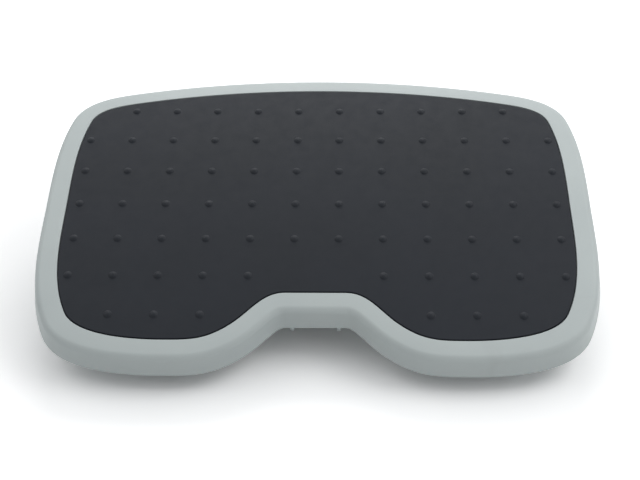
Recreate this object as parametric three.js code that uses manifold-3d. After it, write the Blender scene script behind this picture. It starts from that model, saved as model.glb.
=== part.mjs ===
// Tilting under desk footrest: a crowned platform with a rubber mat rocks on an H shaped base.
// Millimetres, +Z up, +X to the right, the front edge with its notch towards -Y.
// The origin lies on the floor, straight below the tilt axle.
import * as THREE from 'three';
import { mergeVertices } from 'three/addons/utils/BufferGeometryUtils.js';
import Module from 'manifold-3d';

const wasm = await Module();
wasm.setup();

const degrees = Math.PI / 180;

// Clearance between neighbouring pieces, and how far a cutter runs past what it cuts
const gap = 0.3;
const overrun = 6;

// Attitude of the platform
const restTilt = 15 * degrees;
const flattestTilt = 0;
const steepestTilt = 18 * degrees;
const axleHeight = 77;
const axleDepth = 24;

// Mat edge seen from above: the right half runs from the rear middle round to the notch.
// Each station has shares of the half width and half depth, a heading clockwise from +X,
// and the handles of the curves in and out of it as shares of the half width.
const matHalfWidth = 257;
const matHalfDepth = 162.5;
const matStationShares = [
  { x: 0, y: 1.01, heading: 0, handleIn: 0, handleOut: 0.258 },
  { x: 0.777, y: 0.884, heading: 12, handleIn: 0.258, handleOut: 0.083 },
  { x: 0.962, y: 0.713, heading: 74, handleIn: 0.072, handleOut: 0.149 },
  { x: 1, y: 0, heading: 90, handleIn: 0.149, handleOut: 0.171 },
  { x: 0.941, y: -0.816, heading: 116, handleIn: 0.171, handleOut: 0.12 },
  { x: 0.564, y: -0.994, heading: 180, handleIn: 0.072, handleOut: 0.105 },
  { x: 0.322, y: -0.895, heading: 216, handleIn: 0.105, handleOut: 0.091 },
  { x: 0.115, y: -0.672, heading: 180, handleIn: 0.091, handleOut: 0 },
];
const rearSteps = 5;
const cornerSteps = 6;
const sideSteps = 7;
const lobeSteps = 9;
const denseSteps = 40;

// Platform shell
const crownRadius = 2020;
const pocketDepth = 2.5;
const plateThickness = 3;
const grooveWidth = 1.1;
const rimEase = 0.6;
const rimWidth = 14;
const rimFall = 0.4;
const rimRadius = 7;
const rimRoundSteps = 4;
const sideSpreadShare = 0.06;
const cornerSpreadShare = 0.2;
const skirtHeight = 25;
const skirtDraft = 3.2;
const skirtWall = 3;
const skirtLip = 1;
const skirtFillet = 3;
const ribThickness = 2.6;
const ribDepth = 16;
const rearRibShare = 0.78;
const lockRibShare = -0.5;
const lobeRibShare = -0.78;
const lobeRibFrom = 68;
const lobeRibX = 199;
const weld = 1;

// Rubber mat and its domes, which stand on a square grid
const matThickness = 2.4;
const matEase = 0.5;
const domePitch = 44.5;
const domeRadius = 4;
const domeHeight = 1.9;
const domeRootShare = 1.2;
const domeShoulderShare = 0.68;
const domeSides = 6;
const domeRearInset = 31;
const domeEdgeInset = 6;
const bareFieldHalfWidth = 40;
const bareFieldDepth = 30;

// Tilt axle and what runs on it
const axleRadius = 4;
const axleChamfer = 0.8;
const roundSides = 20;
const arcSteps = 4;
const bushRadius = 6;
const bushFlangeRadius = 9;
const bushFlange = 1.5;
const washerThickness = 1.6;
const washerRadius = 10;
const hangerX = 110;
const hangerThickness = 8;
const hangerRadius = 11;
const hangerFoot = 42;
const cheekThickness = 9;
const ringThickness = 1.2;
const ringRadius = 7.6;
const ringGrooveDepth = 0.8;
const ringMouth = 35 * degrees;
const axleTail = 4;

// Two webs below the platform carry the lock, and end in the lugs at the notch
const webX = 23;
const webThickness = 4;
const webDepth = 22;
const webRear = 62;
const webKeelBelow = 12;
const webKeelFront = 14;
const webKeelMargin = 8.4;
const lugRadius = 8;
const lugSetback = 3.8;
const lugDrop = 17.3;
const webRise = 14;

// Release pedal
const pedalPinRadius = 2;
const pedalBossRadius = 5.5;
const paddleLength = 14;
const paddleLean = 27 * degrees;
const paddleRadius = 2.2;
const pedalArmWidth = 5;
const pedalArmRadius = 2.8;
const pegRadius = 2.5;
const treadThickness = 1.6;
const treadRib = 0.8;
const treadRibs = 3;
const treadRibShare = 0.4;
const treadInset = 2.5;
const springPadWidth = 9;
const springPadThickness = 2;
const pedalSideClearance = 0.7;

// Brake arm, its shoe and the sector that it grips
const brakePinAhead = 14;
const brakePinRise = 11;
const brakePinRadius = 2.5;
const brakeBossRadius = 6;
const brakeTailWidth = 7.4;
const brakeTailRadius = 3.6;
const brakeForkRadius = 6;
const forkClearance = 0.35;
const forkReach = 24.7;
const forkRise = 13.6;
const shoeThickness = 4;
const shoeWidth = 15;
const shoeHalfAngle = 6.2 * degrees;
const shoeDip = 8 * degrees;
const backingThickness = 3.6;
const backingHalfAngle = 8.5 * degrees;
const backingSides = 60;
const sectorRadius = 46;
const sectorRim = 5;
const sectorRimWidth = 16;
const sectorWeb = 6;
const sectorHubRadius = 9;
const sectorHubClearance = 4;
const sectorHubCrest = 18 * degrees;
const sectorWindowInset = 6;
const sectorLegHalf = 15;
const sectorFootInset = 6;
const sectorFootHalfWidth = 19;
const sectorFootThickness = 5;
const sectorEarRadius = 33;
const stopPinRadius = 2.5;
const stopPinDistance = 26;
const stopPinDip = 10 * degrees;
const stopSlack = 0.8 * degrees;
const pinHeadRadius = 4.2;
const pinHeadThickness = 1.6;
const pinTail = 1.6;
const smallSides = 12;

// Pedal return spring
const springRadius = 3.9;
const springWire = 0.6;
const springCoils = 6;
const springStepsPerCoil = 8;
const springWireSides = 5;
const springBack = 11;

// Base frame
const footProud = 2.5;
const frameHeight = 16;
const frameRound = 5;
const frameRoundSteps = 2;
const frameWall = 3;
const railX = 165;
const railHalf = 15;
const padY = 116;
const padRadius = 23;
const bridgeHalf = 36;
const bridgeFillet = 18;
const filletSteps = 5;
const padSteps = 12;
const frameRib = 2.4;
const railRibShares = [0.34, 0.63];
const bridgeRibShares = [0.2, 0.45, 0.72];
const footRadius = 15;
const footSeat = 1.5;
const footBossRadius = 21.5;
const footEase = 1;
const cheekTopRadius = 14;
const cheekWindowRadius = 7;
const cheekWindowHeight = 17;
const gussetThickness = 5;
const gussetReach = 20;
const gussetTopDrop = 24;
const screwShankRadius = 1.7;
const screwHeadRadius = 3.8;
const screwHeadHeight = 2;
const screwCrownShare = 0.7;
const screwLength = 9;
const screwInset = 6.5;
const screwBossRadius = 5;

// Sizes that follow from the ones above
const rimOuter = grooveWidth + rimWidth + rimRadius;
const skirtOuter = rimOuter + skirtDraft;
const plateUnderside = -(pocketDepth + plateThickness);
const notchEdge = matStationShares[matStationShares.length - 1].y * matHalfDepth;
const apronInner = notchEdge - skirtOuter + skirtWall;
const webKeelDepth = axleDepth + webKeelBelow;
const webInner = webX - webThickness / 2;
const webOuter = webX + webThickness / 2;
const hangerOuter = hangerX + hangerThickness / 2;
const cheekInner = hangerOuter + gap + washerThickness + gap + bushFlange + gap;
const cheekOuter = cheekInner + cheekThickness;
const frameTop = footProud + frameHeight;
const cheekFootHalf = bridgeHalf - frameRound;
const sectorHubHalf = webInner - sectorHubClearance;
const sectorFootHalfDepth = bridgeHalf - sectorFootInset;
const screwX = sectorFootHalfWidth - screwInset;
const screwY = sectorFootHalfDepth - screwInset;
const axle = new THREE.Vector2(0, -axleDepth);
const pedalPin = new THREE.Vector2(
  apronInner + lugSetback + lugRadius,
  crown(apronInner) - skirtHeight - lugDrop + lugRadius,
);
const paddleEnd = polar(pedalPin, paddleLength, paddleLean - Math.PI / 2);
const brakePin = axle.clone().add(new THREE.Vector2(-sectorRadius - brakePinAhead, brakePinRise));
const peg = pedalPin.clone().add(new THREE.Vector2(forkReach, forkRise));
const stopPin = polar(axle, stopPinDistance, -stopPinDip);
const webKeelRear = stopPin.x + webKeelMargin;
const springY = pedalPin.x + springBack;
const springPadTop = pedalPin.y + springBack;

// Materials
function finish(colour, roughness, metalness) {
  return new THREE.MeshStandardMaterial({ color: new THREE.Color(colour), roughness, metalness });
}
const greyPlastic = finish('#b4bcbe', 0.5, 0);
const matRubber = finish('#3d4145', 0.75, 0);
const darkPlastic = finish('#2b2d2f', 0.55, 0);
const footRubber = finish('#1e1f20', 0.85, 0);
const steel = finish('#a9abad', 0.3, 1);
const nylon = finish('#e6e4dc', 0.45, 0);

// Height of the crowned top below its crest, front to back
function crown(y) {
  return Math.sqrt(crownRadius ** 2 - y ** 2) - crownRadius;
}

// Where a place along Y lies on the crown's circle
function crownAngle(y) {
  return Math.PI / 2 - Math.asin(y / crownRadius);
}

function flat() {
  return 0;
}

// Where a line from a point touches a circle: side 1 is anticlockwise of the point, side -1 clockwise
function touching(from, centre, radius, side) {
  const towards = from.clone().sub(centre);
  return towards.angle() + side * Math.acos(radius / towards.length());
}

// Twice the signed volume of a mesh, whose sign tells which way its faces point
function facing(position, index) {
  const corner = [0, 1, 2].map(() => new THREE.Vector3());
  let sum = 0;
  for (let at = 0; at < index.count; at += 3) {
    corner.forEach((point, side) => point.fromBufferAttribute(position, index.getX(at + side)));
    sum += corner[0].dot(corner[1].clone().cross(corner[2]));
  }
  return sum;
}

// A closed geometry as a solid that can be joined and cut
function solid(geometry) {
  const bare = geometry.clone();
  bare.deleteAttribute('normal');
  bare.deleteAttribute('uv');
  const merged = mergeVertices(bare);
  const triVerts = new Uint32Array(merged.index.array);
  if (facing(merged.attributes.position, merged.index) < 0) {
    triVerts.reverse();
  }
  const vertProperties = new Float32Array(merged.attributes.position.array);
  return new wasm.Manifold(new wasm.Mesh({ numProp: 3, vertProperties, triVerts }));
}

function geometryOf(body) {
  const mesh = body.getMesh();
  const geometry = new THREE.BufferGeometry();
  geometry.setAttribute('position', new THREE.BufferAttribute(mesh.vertProperties, 3));
  geometry.setIndex(new THREE.BufferAttribute(mesh.triVerts, 1));
  geometry.computeVertexNormals();
  return geometry;
}

function join(first, ...others) {
  return others.reduce((sum, other) => sum.add(other), first);
}

function cut(first, ...tools) {
  return tools.reduce((rest, tool) => rest.subtract(tool), first);
}

function addPiece(parent, name, body, material) {
  const mesh = new THREE.Mesh(geometryOf(body), material);
  mesh.name = name;
  parent.add(mesh);
  return mesh;
}

// A profile drawn in (y, z) as a plate between two places along X
function sidePlate(shape, fromX, toX, curveSegments = arcSteps) {
  const geometry = new THREE.ExtrudeGeometry(shape, {
    depth: toX - fromX,
    bevelEnabled: false,
    curveSegments,
  });
  const across = new THREE.Vector3(0, 1, 0);
  const up = new THREE.Vector3(0, 0, 1);
  const right = new THREE.Vector3(1, 0, 0);
  geometry.applyMatrix4(new THREE.Matrix4().makeBasis(across, up, right));
  geometry.translate(fromX, 0, 0);
  return solid(geometry);
}

// A round bar along X about a point in (y, z)
function crossBar(centre, radius, fromX, toX, sides = smallSides) {
  const geometry = new THREE.CylinderGeometry(radius, radius, toX - fromX, sides);
  geometry.rotateZ(Math.PI / 2);
  geometry.translate((fromX + toX) / 2, centre.x, centre.y);
  return solid(geometry);
}

// A round post along Z
function post(x, y, radius, fromZ, toZ, sides = smallSides) {
  const geometry = new THREE.CylinderGeometry(radius, radius, toZ - fromZ, sides);
  geometry.rotateX(Math.PI / 2);
  geometry.translate(x, y, (fromZ + toZ) / 2);
  return solid(geometry);
}

function block(fromX, toX, fromY, toY, fromZ, toZ) {
  const geometry = new THREE.BoxGeometry(toX - fromX, toY - fromY, toZ - fromZ);
  geometry.translate((fromX + toX) / 2, (fromY + toY) / 2, (fromZ + toZ) / 2);
  return solid(geometry);
}

// A turned piece about Z, from points of radius and height
function turned(profile, sides = roundSides) {
  const points = profile.map(([radius, height]) => new THREE.Vector2(radius, height));
  const geometry = new THREE.LatheGeometry(points, sides);
  geometry.rotateX(Math.PI / 2);
  return geometry;
}

// A turned piece about X, from points of radius and place along X
function turnedAcross(profile, centre, sides = roundSides) {
  const geometry = turned(profile, sides);
  geometry.rotateY(Math.PI / 2);
  geometry.translate(0, centre.x, centre.y);
  return solid(geometry);
}

// The point at a distance and heading from a centre
function polar(centre, distance, angle) {
  return new THREE.Vector2(Math.cos(angle), Math.sin(angle)).multiplyScalar(distance).add(centre);
}

// An outline with straight sides and round ends
function capsule(from, to, radius) {
  const heading = Math.atan2(to.y - from.y, to.x - from.x);
  const shape = new THREE.Shape();
  shape.absarc(to.x, to.y, radius, heading - Math.PI / 2, heading + Math.PI / 2);
  shape.absarc(from.x, from.y, radius, heading + Math.PI / 2, heading + Math.PI * 1.5);
  return shape;
}

// An outline between two arcs about one centre
function arcBand(centre, innerRadius, outerRadius, fromAngle, toAngle) {
  const shape = new THREE.Shape();
  shape.absarc(centre.x, centre.y, outerRadius, fromAngle, toAngle);
  shape.absarc(centre.x, centre.y, innerRadius, toAngle, fromAngle, true);
  return shape;
}

// An arc band with round ends, for a slot that a pin travels in
function arcSlot(centre, radius, halfWidth, fromAngle, toAngle) {
  const from = polar(centre, radius, fromAngle);
  const to = polar(centre, radius, toAngle);
  const shape = new THREE.Shape();
  shape.absarc(centre.x, centre.y, radius + halfWidth, fromAngle, toAngle);
  shape.absarc(to.x, to.y, halfWidth, toAngle, toAngle + Math.PI);
  shape.absarc(centre.x, centre.y, radius - halfWidth, toAngle, fromAngle, true);
  shape.absarc(from.x, from.y, halfWidth, fromAngle + Math.PI, fromAngle + Math.PI * 2);
  return shape;
}

// The curves between the mat's stations
function matCurves() {
  const place = (station) => new THREE.Vector2(station.x * matHalfWidth, station.y * matHalfDepth);
  const ahead = (station, share) => {
    const angle = station.heading * degrees;
    return new THREE.Vector2(Math.cos(angle), -Math.sin(angle)).multiplyScalar(share * matHalfWidth);
  };
  return matStationShares.slice(1).map((station, order) => {
    const last = matStationShares[order];
    return new THREE.CubicBezierCurve(
      place(last),
      place(last).add(ahead(last, last.handleOut)),
      place(station).sub(ahead(station, station.handleIn)),
      place(station),
    );
  });
}

// Where a chain of points that runs towards -Y crosses a level
function crossing(chain, y) {
  const after = chain.findIndex((point, order) => order > 0 && point.y <= y);
  const high = chain[after - 1];
  const low = chain[after];
  const share = (high.y - y) / (high.y - low.y);
  return new THREE.Vector2(THREE.MathUtils.lerp(high.x, low.x, share), y);
}

// The mat's edge, clockwise from the rear middle. Both sides of a lobe have points at the same levels.
function matEdge() {
  const curves = matCurves();
  const [rear, corner, upperFlank, lowerFlank, lobeFront, notchFlank, notchCorner] = curves;
  const chain = (parts) => parts.flatMap((curve) => curve.getPoints(denseSteps));
  const flank = chain([upperFlank, lowerFlank, lobeFront]);
  const notch = chain([notchFlank, notchCorner]).reverse();
  const tip = lobeFront.v3;
  const half = [...rear.getPoints(rearSteps), ...corner.getPoints(cornerSteps).slice(1)];
  for (let step = 1; step <= sideSteps; step += 1) {
    half.push(crossing(flank, THREE.MathUtils.lerp(corner.v3.y, notchEdge, step / sideSteps)));
  }
  const level = (step) => {
    const share = (1 - Math.cos((Math.PI * step) / lobeSteps)) / 2;
    return THREE.MathUtils.lerp(notchEdge, tip.y, share);
  };
  for (let step = 1; step < lobeSteps; step += 1) {
    half.push(crossing(flank, level(step)));
  }
  half.push(tip);
  for (let step = lobeSteps - 1; step > 0; step -= 1) {
    half.push(crossing(notch, level(step)));
  }
  half.push(notchCorner.v3);
  const mirrored = half.slice(1).reverse().map((point) => new THREE.Vector2(-point.x, point.y));
  return [...half, ...mirrored];
}

// Faces across the mat's outline in strips along X, so that they follow the crown
function matStrips(points) {
  const count = points.length;
  const across = (order) => (count - order) % count;
  const level = rearSteps + cornerSteps + sideSteps;
  const notch = level + 2 * lobeSteps;
  const faces = [[0, 1, across(1)]];
  for (let order = 1; order < level - 1; order += 1) {
    faces.push([order, order + 1, across(order + 1)]);
    faces.push([order, across(order + 1), across(order)]);
  }
  faces.push([level - 1, level, notch]);
  faces.push([level - 1, notch, across(notch)]);
  faces.push([level - 1, across(notch), across(level - 1)]);
  faces.push([across(level - 1), across(notch), across(level)]);
  for (let step = 0; step < lobeSteps; step += 1) {
    const outer = level + step;
    const inner = notch - step;
    const strip = [[outer, outer + 1, inner]];
    if (step < lobeSteps - 1) {
      strip.push([outer + 1, inner - 1, inner]);
    }
    strip.forEach(([first, second, third]) => {
      faces.push([first, second, third]);
      faces.push([across(third), across(second), across(first)]);
    });
  }
  return faces;
}

// Faces across any flat outline
function flatFaces(points) {
  const clockwise = THREE.ShapeUtils.isClockWise(points);
  return THREE.ShapeUtils.triangulateShape(points, []).map((face) => {
    const corners = face.map((order) => points[order]);
    return THREE.ShapeUtils.isClockWise(corners) === clockwise ? face : [...face].reverse();
  });
}

// The outline moved outwards by a distance; it runs clockwise
function offsetOutline(points, distance) {
  return points.map((point, order) => {
    const before = points[(order + points.length - 1) % points.length];
    const after = points[(order + 1) % points.length];
    const back = point.clone().sub(before).normalize();
    const forth = after.clone().sub(point).normalize();
    const along = back.clone().add(forth).normalize();
    const stretch = distance / along.dot(back);
    return new THREE.Vector2(point.x - along.y * stretch, point.y + along.x * stretch);
  });
}

// The platform's rings stand out a little more where they face sideways and at the front corners
function spread(points, ring) {
  return ring.map((point, order) => {
    const out = point.clone().sub(points[order]);
    const towards = out.clone().normalize();
    const sideways = Math.max(0, Math.sign(points[order].x) * towards.x);
    const extra = sideSpreadShare * sideways + cornerSpreadShare * Math.max(0, -towards.y);
    return out.multiplyScalar(sideways * extra).add(point);
  });
}

// A solid through rings, each the outline at its own offset and height, closed at both ends
function loft(outline, rings, lift = flat, faces = flatFaces, place = offsetOutline) {
  const position = [];
  const index = [];
  rings.forEach(([offset, height]) => {
    place(outline, offset).forEach((point) => {
      position.push(point.x, point.y, height + lift(point.y));
    });
  });
  const count = outline.length;
  for (let ring = 0; ring < rings.length - 1; ring += 1) {
    for (let order = 0; order < count; order += 1) {
      const here = ring * count + order;
      const next = ring * count + ((order + 1) % count);
      index.push(here, next, next + count, here, next + count, here + count);
    }
  }
  const last = (rings.length - 1) * count;
  faces(outline).forEach(([first, second, third]) => {
    index.push(third, second, first);
    index.push(last + first, last + second, last + third);
  });
  const geometry = new THREE.BufferGeometry();
  geometry.setAttribute('position', new THREE.Float32BufferAttribute(position, 3));
  geometry.setIndex(index);
  return solid(geometry);
}

const edge = matEdge();

function platformOutline(points, distance) {
  const ring = offsetOutline(points, distance);
  return distance > 0 ? spread(points, ring) : ring;
}

function crownedLoft(rings) {
  return loft(edge, rings, crown, matStrips, platformOutline);
}

// Offsets and heights round the shell's wall, from the mat's pocket over the rim to the underside
function shellRings() {
  const rings = [
    [grooveWidth, -pocketDepth],
    [grooveWidth, -rimEase],
    [grooveWidth + rimEase, 0],
    [grooveWidth + rimWidth, -rimFall],
  ];
  for (let step = 1; step <= rimRoundSteps; step += 1) {
    const angle = ((step / rimRoundSteps) * Math.PI) / 2;
    const out = grooveWidth + rimWidth + rimRadius * Math.sin(angle);
    rings.push([out, -rimFall - rimRadius * (1 - Math.cos(angle))]);
  }
  rings.push([skirtOuter, skirtLip - skirtHeight]);
  rings.push([skirtOuter - skirtLip, -skirtHeight]);
  rings.push([skirtOuter - skirtWall + skirtLip, -skirtHeight]);
  rings.push([skirtOuter - skirtWall, skirtLip - skirtHeight]);
  rings.push([rimOuter - skirtWall, plateUnderside - skirtFillet]);
  rings.push([rimOuter - skirtWall - skirtFillet, plateUnderside]);
  return rings;
}

// A profile between the plate's underside and a depth that follows the crown
function crownBand(fromY, toY, depth) {
  const shape = new THREE.Shape();
  const top = crownRadius + plateUnderside + weld;
  shape.absarc(0, -crownRadius, top, crownAngle(toY), crownAngle(fromY));
  shape.absarc(0, -crownRadius, crownRadius - depth, crownAngle(fromY), crownAngle(toY), true);
  return shape;
}

// Ribs across the platform, left open between the webs where the lock works
function crossRibs() {
  const reach = matHalfWidth + skirtOuter;
  const rows = [
    { y: matHalfDepth * rearRibShare, from: 0 },
    { y: webRear - ribThickness, from: 0 },
    { y: matHalfDepth * lockRibShare, from: webX },
    { y: matHalfDepth * lobeRibShare, from: lobeRibFrom },
  ];
  return rows.flatMap(({ y, from }) => [-1, 1].map((side) => {
    const ends = [side * (from - weld), side * reach].sort((a, b) => a - b);
    const top = crown(y) + plateUnderside + weld;
    return block(ends[0], ends[1], y - ribThickness / 2, y + ribThickness / 2, crown(y) - ribDepth, top);
  }));
}

// Ribs from front to back
function longRibs() {
  const band = crownBand(-matHalfDepth - skirtOuter, matHalfDepth + skirtOuter, ribDepth);
  return [hangerX, lobeRibX].flatMap((x) => [-x, x].map((at) => {
    return sidePlate(band, at - ribThickness / 2, at + ribThickness / 2, rearSteps);
  }));
}

// A hanger that the axle passes through
function hanger(side) {
  const front = new THREE.Vector2(-hangerFoot, plateUnderside + weld);
  const rear = new THREE.Vector2(hangerFoot, plateUnderside + weld);
  const from = touching(front, axle, hangerRadius, 1);
  const to = touching(rear, axle, hangerRadius, -1);
  const shape = new THREE.Shape();
  shape.moveTo(front.x, front.y);
  shape.absarc(axle.x, axle.y, hangerRadius, from, to + Math.PI * 2);
  shape.lineTo(rear.x, rear.y);
  const middle = side * hangerX;
  return sidePlate(shape, middle - hangerThickness / 2, middle + hangerThickness / 2);
}

// A web with its lug at the front and a keel round the axle
function lockWeb(side) {
  const keelTop = -webDepth;
  const shape = new THREE.Shape();
  const top = crownRadius + plateUnderside + weld;
  const front = pedalPin.x - lugRadius;
  const heel = new THREE.Vector2(pedalPin.x + lugRadius + webRise, keelTop);
  const lugEnd = touching(heel, pedalPin, lugRadius, -1);
  shape.absarc(pedalPin.x, pedalPin.y, lugRadius, Math.PI, lugEnd + Math.PI * 2);
  shape.lineTo(heel.x, heel.y);
  shape.lineTo(-webKeelFront - webRise / 2, keelTop);
  shape.lineTo(-webKeelFront, -webKeelDepth);
  shape.lineTo(webKeelRear - webRise / 2, -webKeelDepth);
  shape.lineTo(webKeelRear, -webKeelDepth + webRise / 2);
  shape.lineTo(webKeelRear + webRise / 2, keelTop);
  shape.lineTo(webRear, -ribDepth);
  shape.absarc(0, -crownRadius, top, crownAngle(webRear), crownAngle(front));
  const middle = side * webX;
  return sidePlate(shape, middle - webThickness / 2, middle + webThickness / 2);
}

// The bridge from each lug forward to the notch's apron
function lugToe(side) {
  const middle = side * webX;
  const front = pedalPin.x - lugRadius - lugSetback - skirtWall / 2;
  const low = crown(apronInner) - skirtHeight + skirtLip;
  const high = crown(apronInner) + plateUnderside + weld;
  return block(middle - webThickness / 2, middle + webThickness / 2, front, pedalPin.x, low, high);
}

function platformShell() {
  const wall = crownedLoft(shellRings());
  const low = skirtOuter - skirtWall / 2;
  const high = rimOuter - skirtWall / 2;
  const inside = crownedLoft([
    [low, -skirtHeight * 2 - overrun],
    [low, -skirtHeight],
    [high, plateUnderside - skirtFillet],
    [high, overrun],
  ]);
  const sides = [-1, 1];
  const frame = join(
    ...crossRibs(),
    ...longRibs(),
    ...sides.map(hanger),
    ...sides.map(lockWeb),
    ...sides.map(lugToe),
  ).intersect(inside);
  const reach = hangerOuter + overrun;
  const bores = [
    crossBar(axle, axleRadius + gap, -reach, reach, roundSides),
    crossBar(stopPin, stopPinRadius + gap, -webOuter - overrun, webOuter + overrun),
    crossBar(brakePin, brakePinRadius + gap, -webOuter - overrun, webOuter + overrun),
    crossBar(pedalPin, pedalPinRadius + gap, -webOuter - overrun, webOuter + overrun),
  ];
  return cut(join(wall, frame), ...bores);
}

// One dome, sunk a little into the mat
function dome(x, y) {
  const geometry = turned([
    [0, -domeHeight / 2],
    [domeRadius * domeRootShare, -domeHeight / 2],
    [domeRadius * domeShoulderShare, domeHeight * domeShoulderShare],
    [0, domeHeight],
  ], domeSides);
  geometry.translate(x, y, crown(y) + matThickness - pocketDepth + gap);
  return solid(geometry);
}

// How far a point lies within the mat's edge, and less than zero outside it
function depthInMat(x, y) {
  const near = new THREE.Vector3();
  const place = new THREE.Vector3(x, y, 0);
  let least = Infinity;
  let crossings = 0;
  edge.forEach((from, order) => {
    const to = edge[(order + 1) % edge.length];
    const side = new THREE.Line3(new THREE.Vector3(from.x, from.y), new THREE.Vector3(to.x, to.y));
    side.closestPointToPoint(place, true, near);
    least = Math.min(least, near.distanceTo(place));
    const spans = (from.y > y) !== (to.y > y);
    if (spans && x < THREE.MathUtils.mapLinear(y, from.y, to.y, from.x, to.x)) {
      crossings += 1;
    }
  });
  return crossings % 2 === 1 ? least : -least;
}

// The domes' places: every crossing of the grid on the mat, but for a bare field by the notch
function domePlaces() {
  const places = [];
  for (let y = matHalfDepth - domeRearInset; y > -matHalfDepth; y -= domePitch) {
    for (let x = domePitch / 2; x < matHalfWidth; x += domePitch) {
      const bare = x < bareFieldHalfWidth && y < notchEdge + bareFieldDepth;
      if (!bare && depthInMat(x, y) > domeEdgeInset) {
        places.push([x, y], [-x, y]);
      }
    }
  }
  return places;
}

function footMat() {
  const top = matThickness - pocketDepth + gap;
  const sheet = crownedLoft([
    [0, gap - pocketDepth],
    [0, top - matEase],
    [-matEase, top],
  ]);
  return join(sheet, ...domePlaces().map(([x, y]) => dome(x, y)));
}

// A pin along X with a head at its right end
function headedPin(centre, radius, half) {
  return turnedAcross([
    [0, -half],
    [radius - gap, -half],
    [radius, -half + gap],
    [radius, half],
    [pinHeadRadius, half],
    [pinHeadRadius, half + pinHeadThickness],
    [0, half + pinHeadThickness],
  ], centre, smallSides);
}

function axleRod() {
  const ringInner = cheekOuter + gap;
  const ringOuter = ringInner + ringThickness + gap;
  const end = ringOuter + axleTail;
  const half = [
    [axleRadius, ringInner],
    [axleRadius - ringGrooveDepth, ringInner],
    [axleRadius - ringGrooveDepth, ringOuter],
    [axleRadius, ringOuter],
    [axleRadius, end - axleChamfer],
    [axleRadius - axleChamfer, end],
    [0, end],
  ];
  const mirrored = [...half].reverse().map(([radius, x]) => [radius, -x]);
  return turnedAcross([...mirrored, ...half], axle);
}

// An open ring that springs into the axle's groove
function retainingRing(side) {
  const bore = axleRadius - ringGrooveDepth + gap;
  const band = arcBand(axle, bore, ringRadius, ringMouth - Math.PI / 2, Math.PI * 1.5 - ringMouth);
  const inner = cheekOuter + gap + gap / 2;
  const ends = [side * inner, side * (inner + ringThickness)].sort((a, b) => a - b);
  return sidePlate(band, ends[0], ends[1]);
}

function frictionWasher(side) {
  const inner = hangerOuter + gap;
  const outer = inner + washerThickness;
  const ends = [side * inner, side * outer].sort((a, b) => a - b);
  const disc = crossBar(axle, washerRadius, ends[0], ends[1], roundSides);
  const bore = crossBar(axle, axleRadius + gap, ends[0] - overrun, ends[1] + overrun, roundSides);
  return cut(disc, bore);
}

// A flanged bush in its cheek, about the axle's own centre
function axleBush(side) {
  const centre = new THREE.Vector2(0, 0);
  const face = side * (cheekInner - gap - bushFlange);
  const flange = [face, side * (cheekInner - gap)].sort((a, b) => a - b);
  const sleeve = [face, side * cheekOuter].sort((a, b) => a - b);
  const body = join(
    crossBar(centre, bushFlangeRadius, flange[0], flange[1], roundSides),
    crossBar(centre, bushRadius, sleeve[0], sleeve[1], roundSides),
  );
  const bore = crossBar(centre, axleRadius + gap, sleeve[0] - overrun, sleeve[1] + overrun, roundSides);
  return cut(body, bore);
}

// The sector, drawn about the axle's centre and bolted to the frame's bridge
function tiltSector() {
  const centre = new THREE.Vector2(0, 0);
  const rimFrom = Math.PI + shoeDip + flattestTilt - backingHalfAngle;
  const rimTo = Math.PI + shoeDip + steepestTilt + backingHalfAngle;
  const footLow = frameTop + gap - axleHeight;
  const footHigh = footLow + sectorFootThickness;
  const slotFrom = flattestTilt - stopPinDip - stopSlack;
  const slotTo = steepestTilt - stopPinDip + stopSlack;
  const earMargin = Math.asin((sectorEarRadius - stopPinDistance) / stopPinDistance);
  const shape = new THREE.Shape();
  shape.moveTo(sectorLegHalf, footHigh);
  shape.absarc(0, 0, sectorEarRadius, slotFrom - earMargin, slotTo + earMargin);
  shape.absarc(0, 0, sectorHubRadius, Math.PI / 2 - sectorHubCrest, Math.PI / 2 + sectorHubCrest);
  shape.absarc(0, 0, sectorRadius, rimFrom, rimTo);
  shape.lineTo(-sectorLegHalf, footHigh);
  shape.lineTo(-sectorLegHalf, footLow);
  shape.lineTo(sectorLegHalf, footLow);
  const windowFrom = rimFrom + backingHalfAngle / 2;
  const windowTo = rimTo - backingHalfAngle / 2;
  const window = arcBand(
    centre,
    sectorHubRadius + sectorWindowInset,
    sectorRadius - sectorRim - sectorWindowInset / 2,
    windowFrom,
    windowTo,
  );
  const half = sectorWeb / 2;
  const wide = sectorFootHalfWidth;
  const deep = sectorFootHalfDepth;
  const rim = arcBand(centre, sectorRadius - sectorRim, sectorRadius, rimFrom, rimTo);
  const slot = arcSlot(centre, stopPinDistance, stopPinRadius + gap, slotFrom, slotTo);
  const body = join(
    sidePlate(shape, -half, half),
    sidePlate(rim, -sectorRimWidth / 2, sectorRimWidth / 2),
    crossBar(centre, sectorHubRadius, -sectorHubHalf, sectorHubHalf, roundSides),
    block(-wide, wide, -deep, deep, footLow, footHigh),
    sectorGusset(footHigh),
  );
  const holes = screwPlaces().map(([x, y]) => (
    post(x, y, screwShankRadius + gap, footLow - overrun, footHigh + overrun)
  ));
  return cut(
    body,
    sidePlate(window, -half - overrun, half + overrun),
    sidePlate(slot, -half - overrun, half + overrun),
    crossBar(centre, axleRadius + gap, -sectorHubHalf - overrun, sectorHubHalf + overrun, roundSides),
    ...holes,
  );
}

// A stiffening rib across the sector's leg
function sectorGusset(footHigh) {
  const rib = new THREE.Shape();
  rib.moveTo(-sectorFootHalfWidth, footHigh);
  rib.lineTo(sectorFootHalfWidth, footHigh);
  rib.lineTo(sectorWeb / 2, footHigh / 2);
  rib.lineTo(-sectorWeb / 2, footHigh / 2);
  const geometry = new THREE.ExtrudeGeometry(rib, { depth: gussetThickness, bevelEnabled: false });
  geometry.rotateX(Math.PI / 2);
  geometry.translate(0, gussetThickness / 2, 0);
  return solid(geometry);
}

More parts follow.
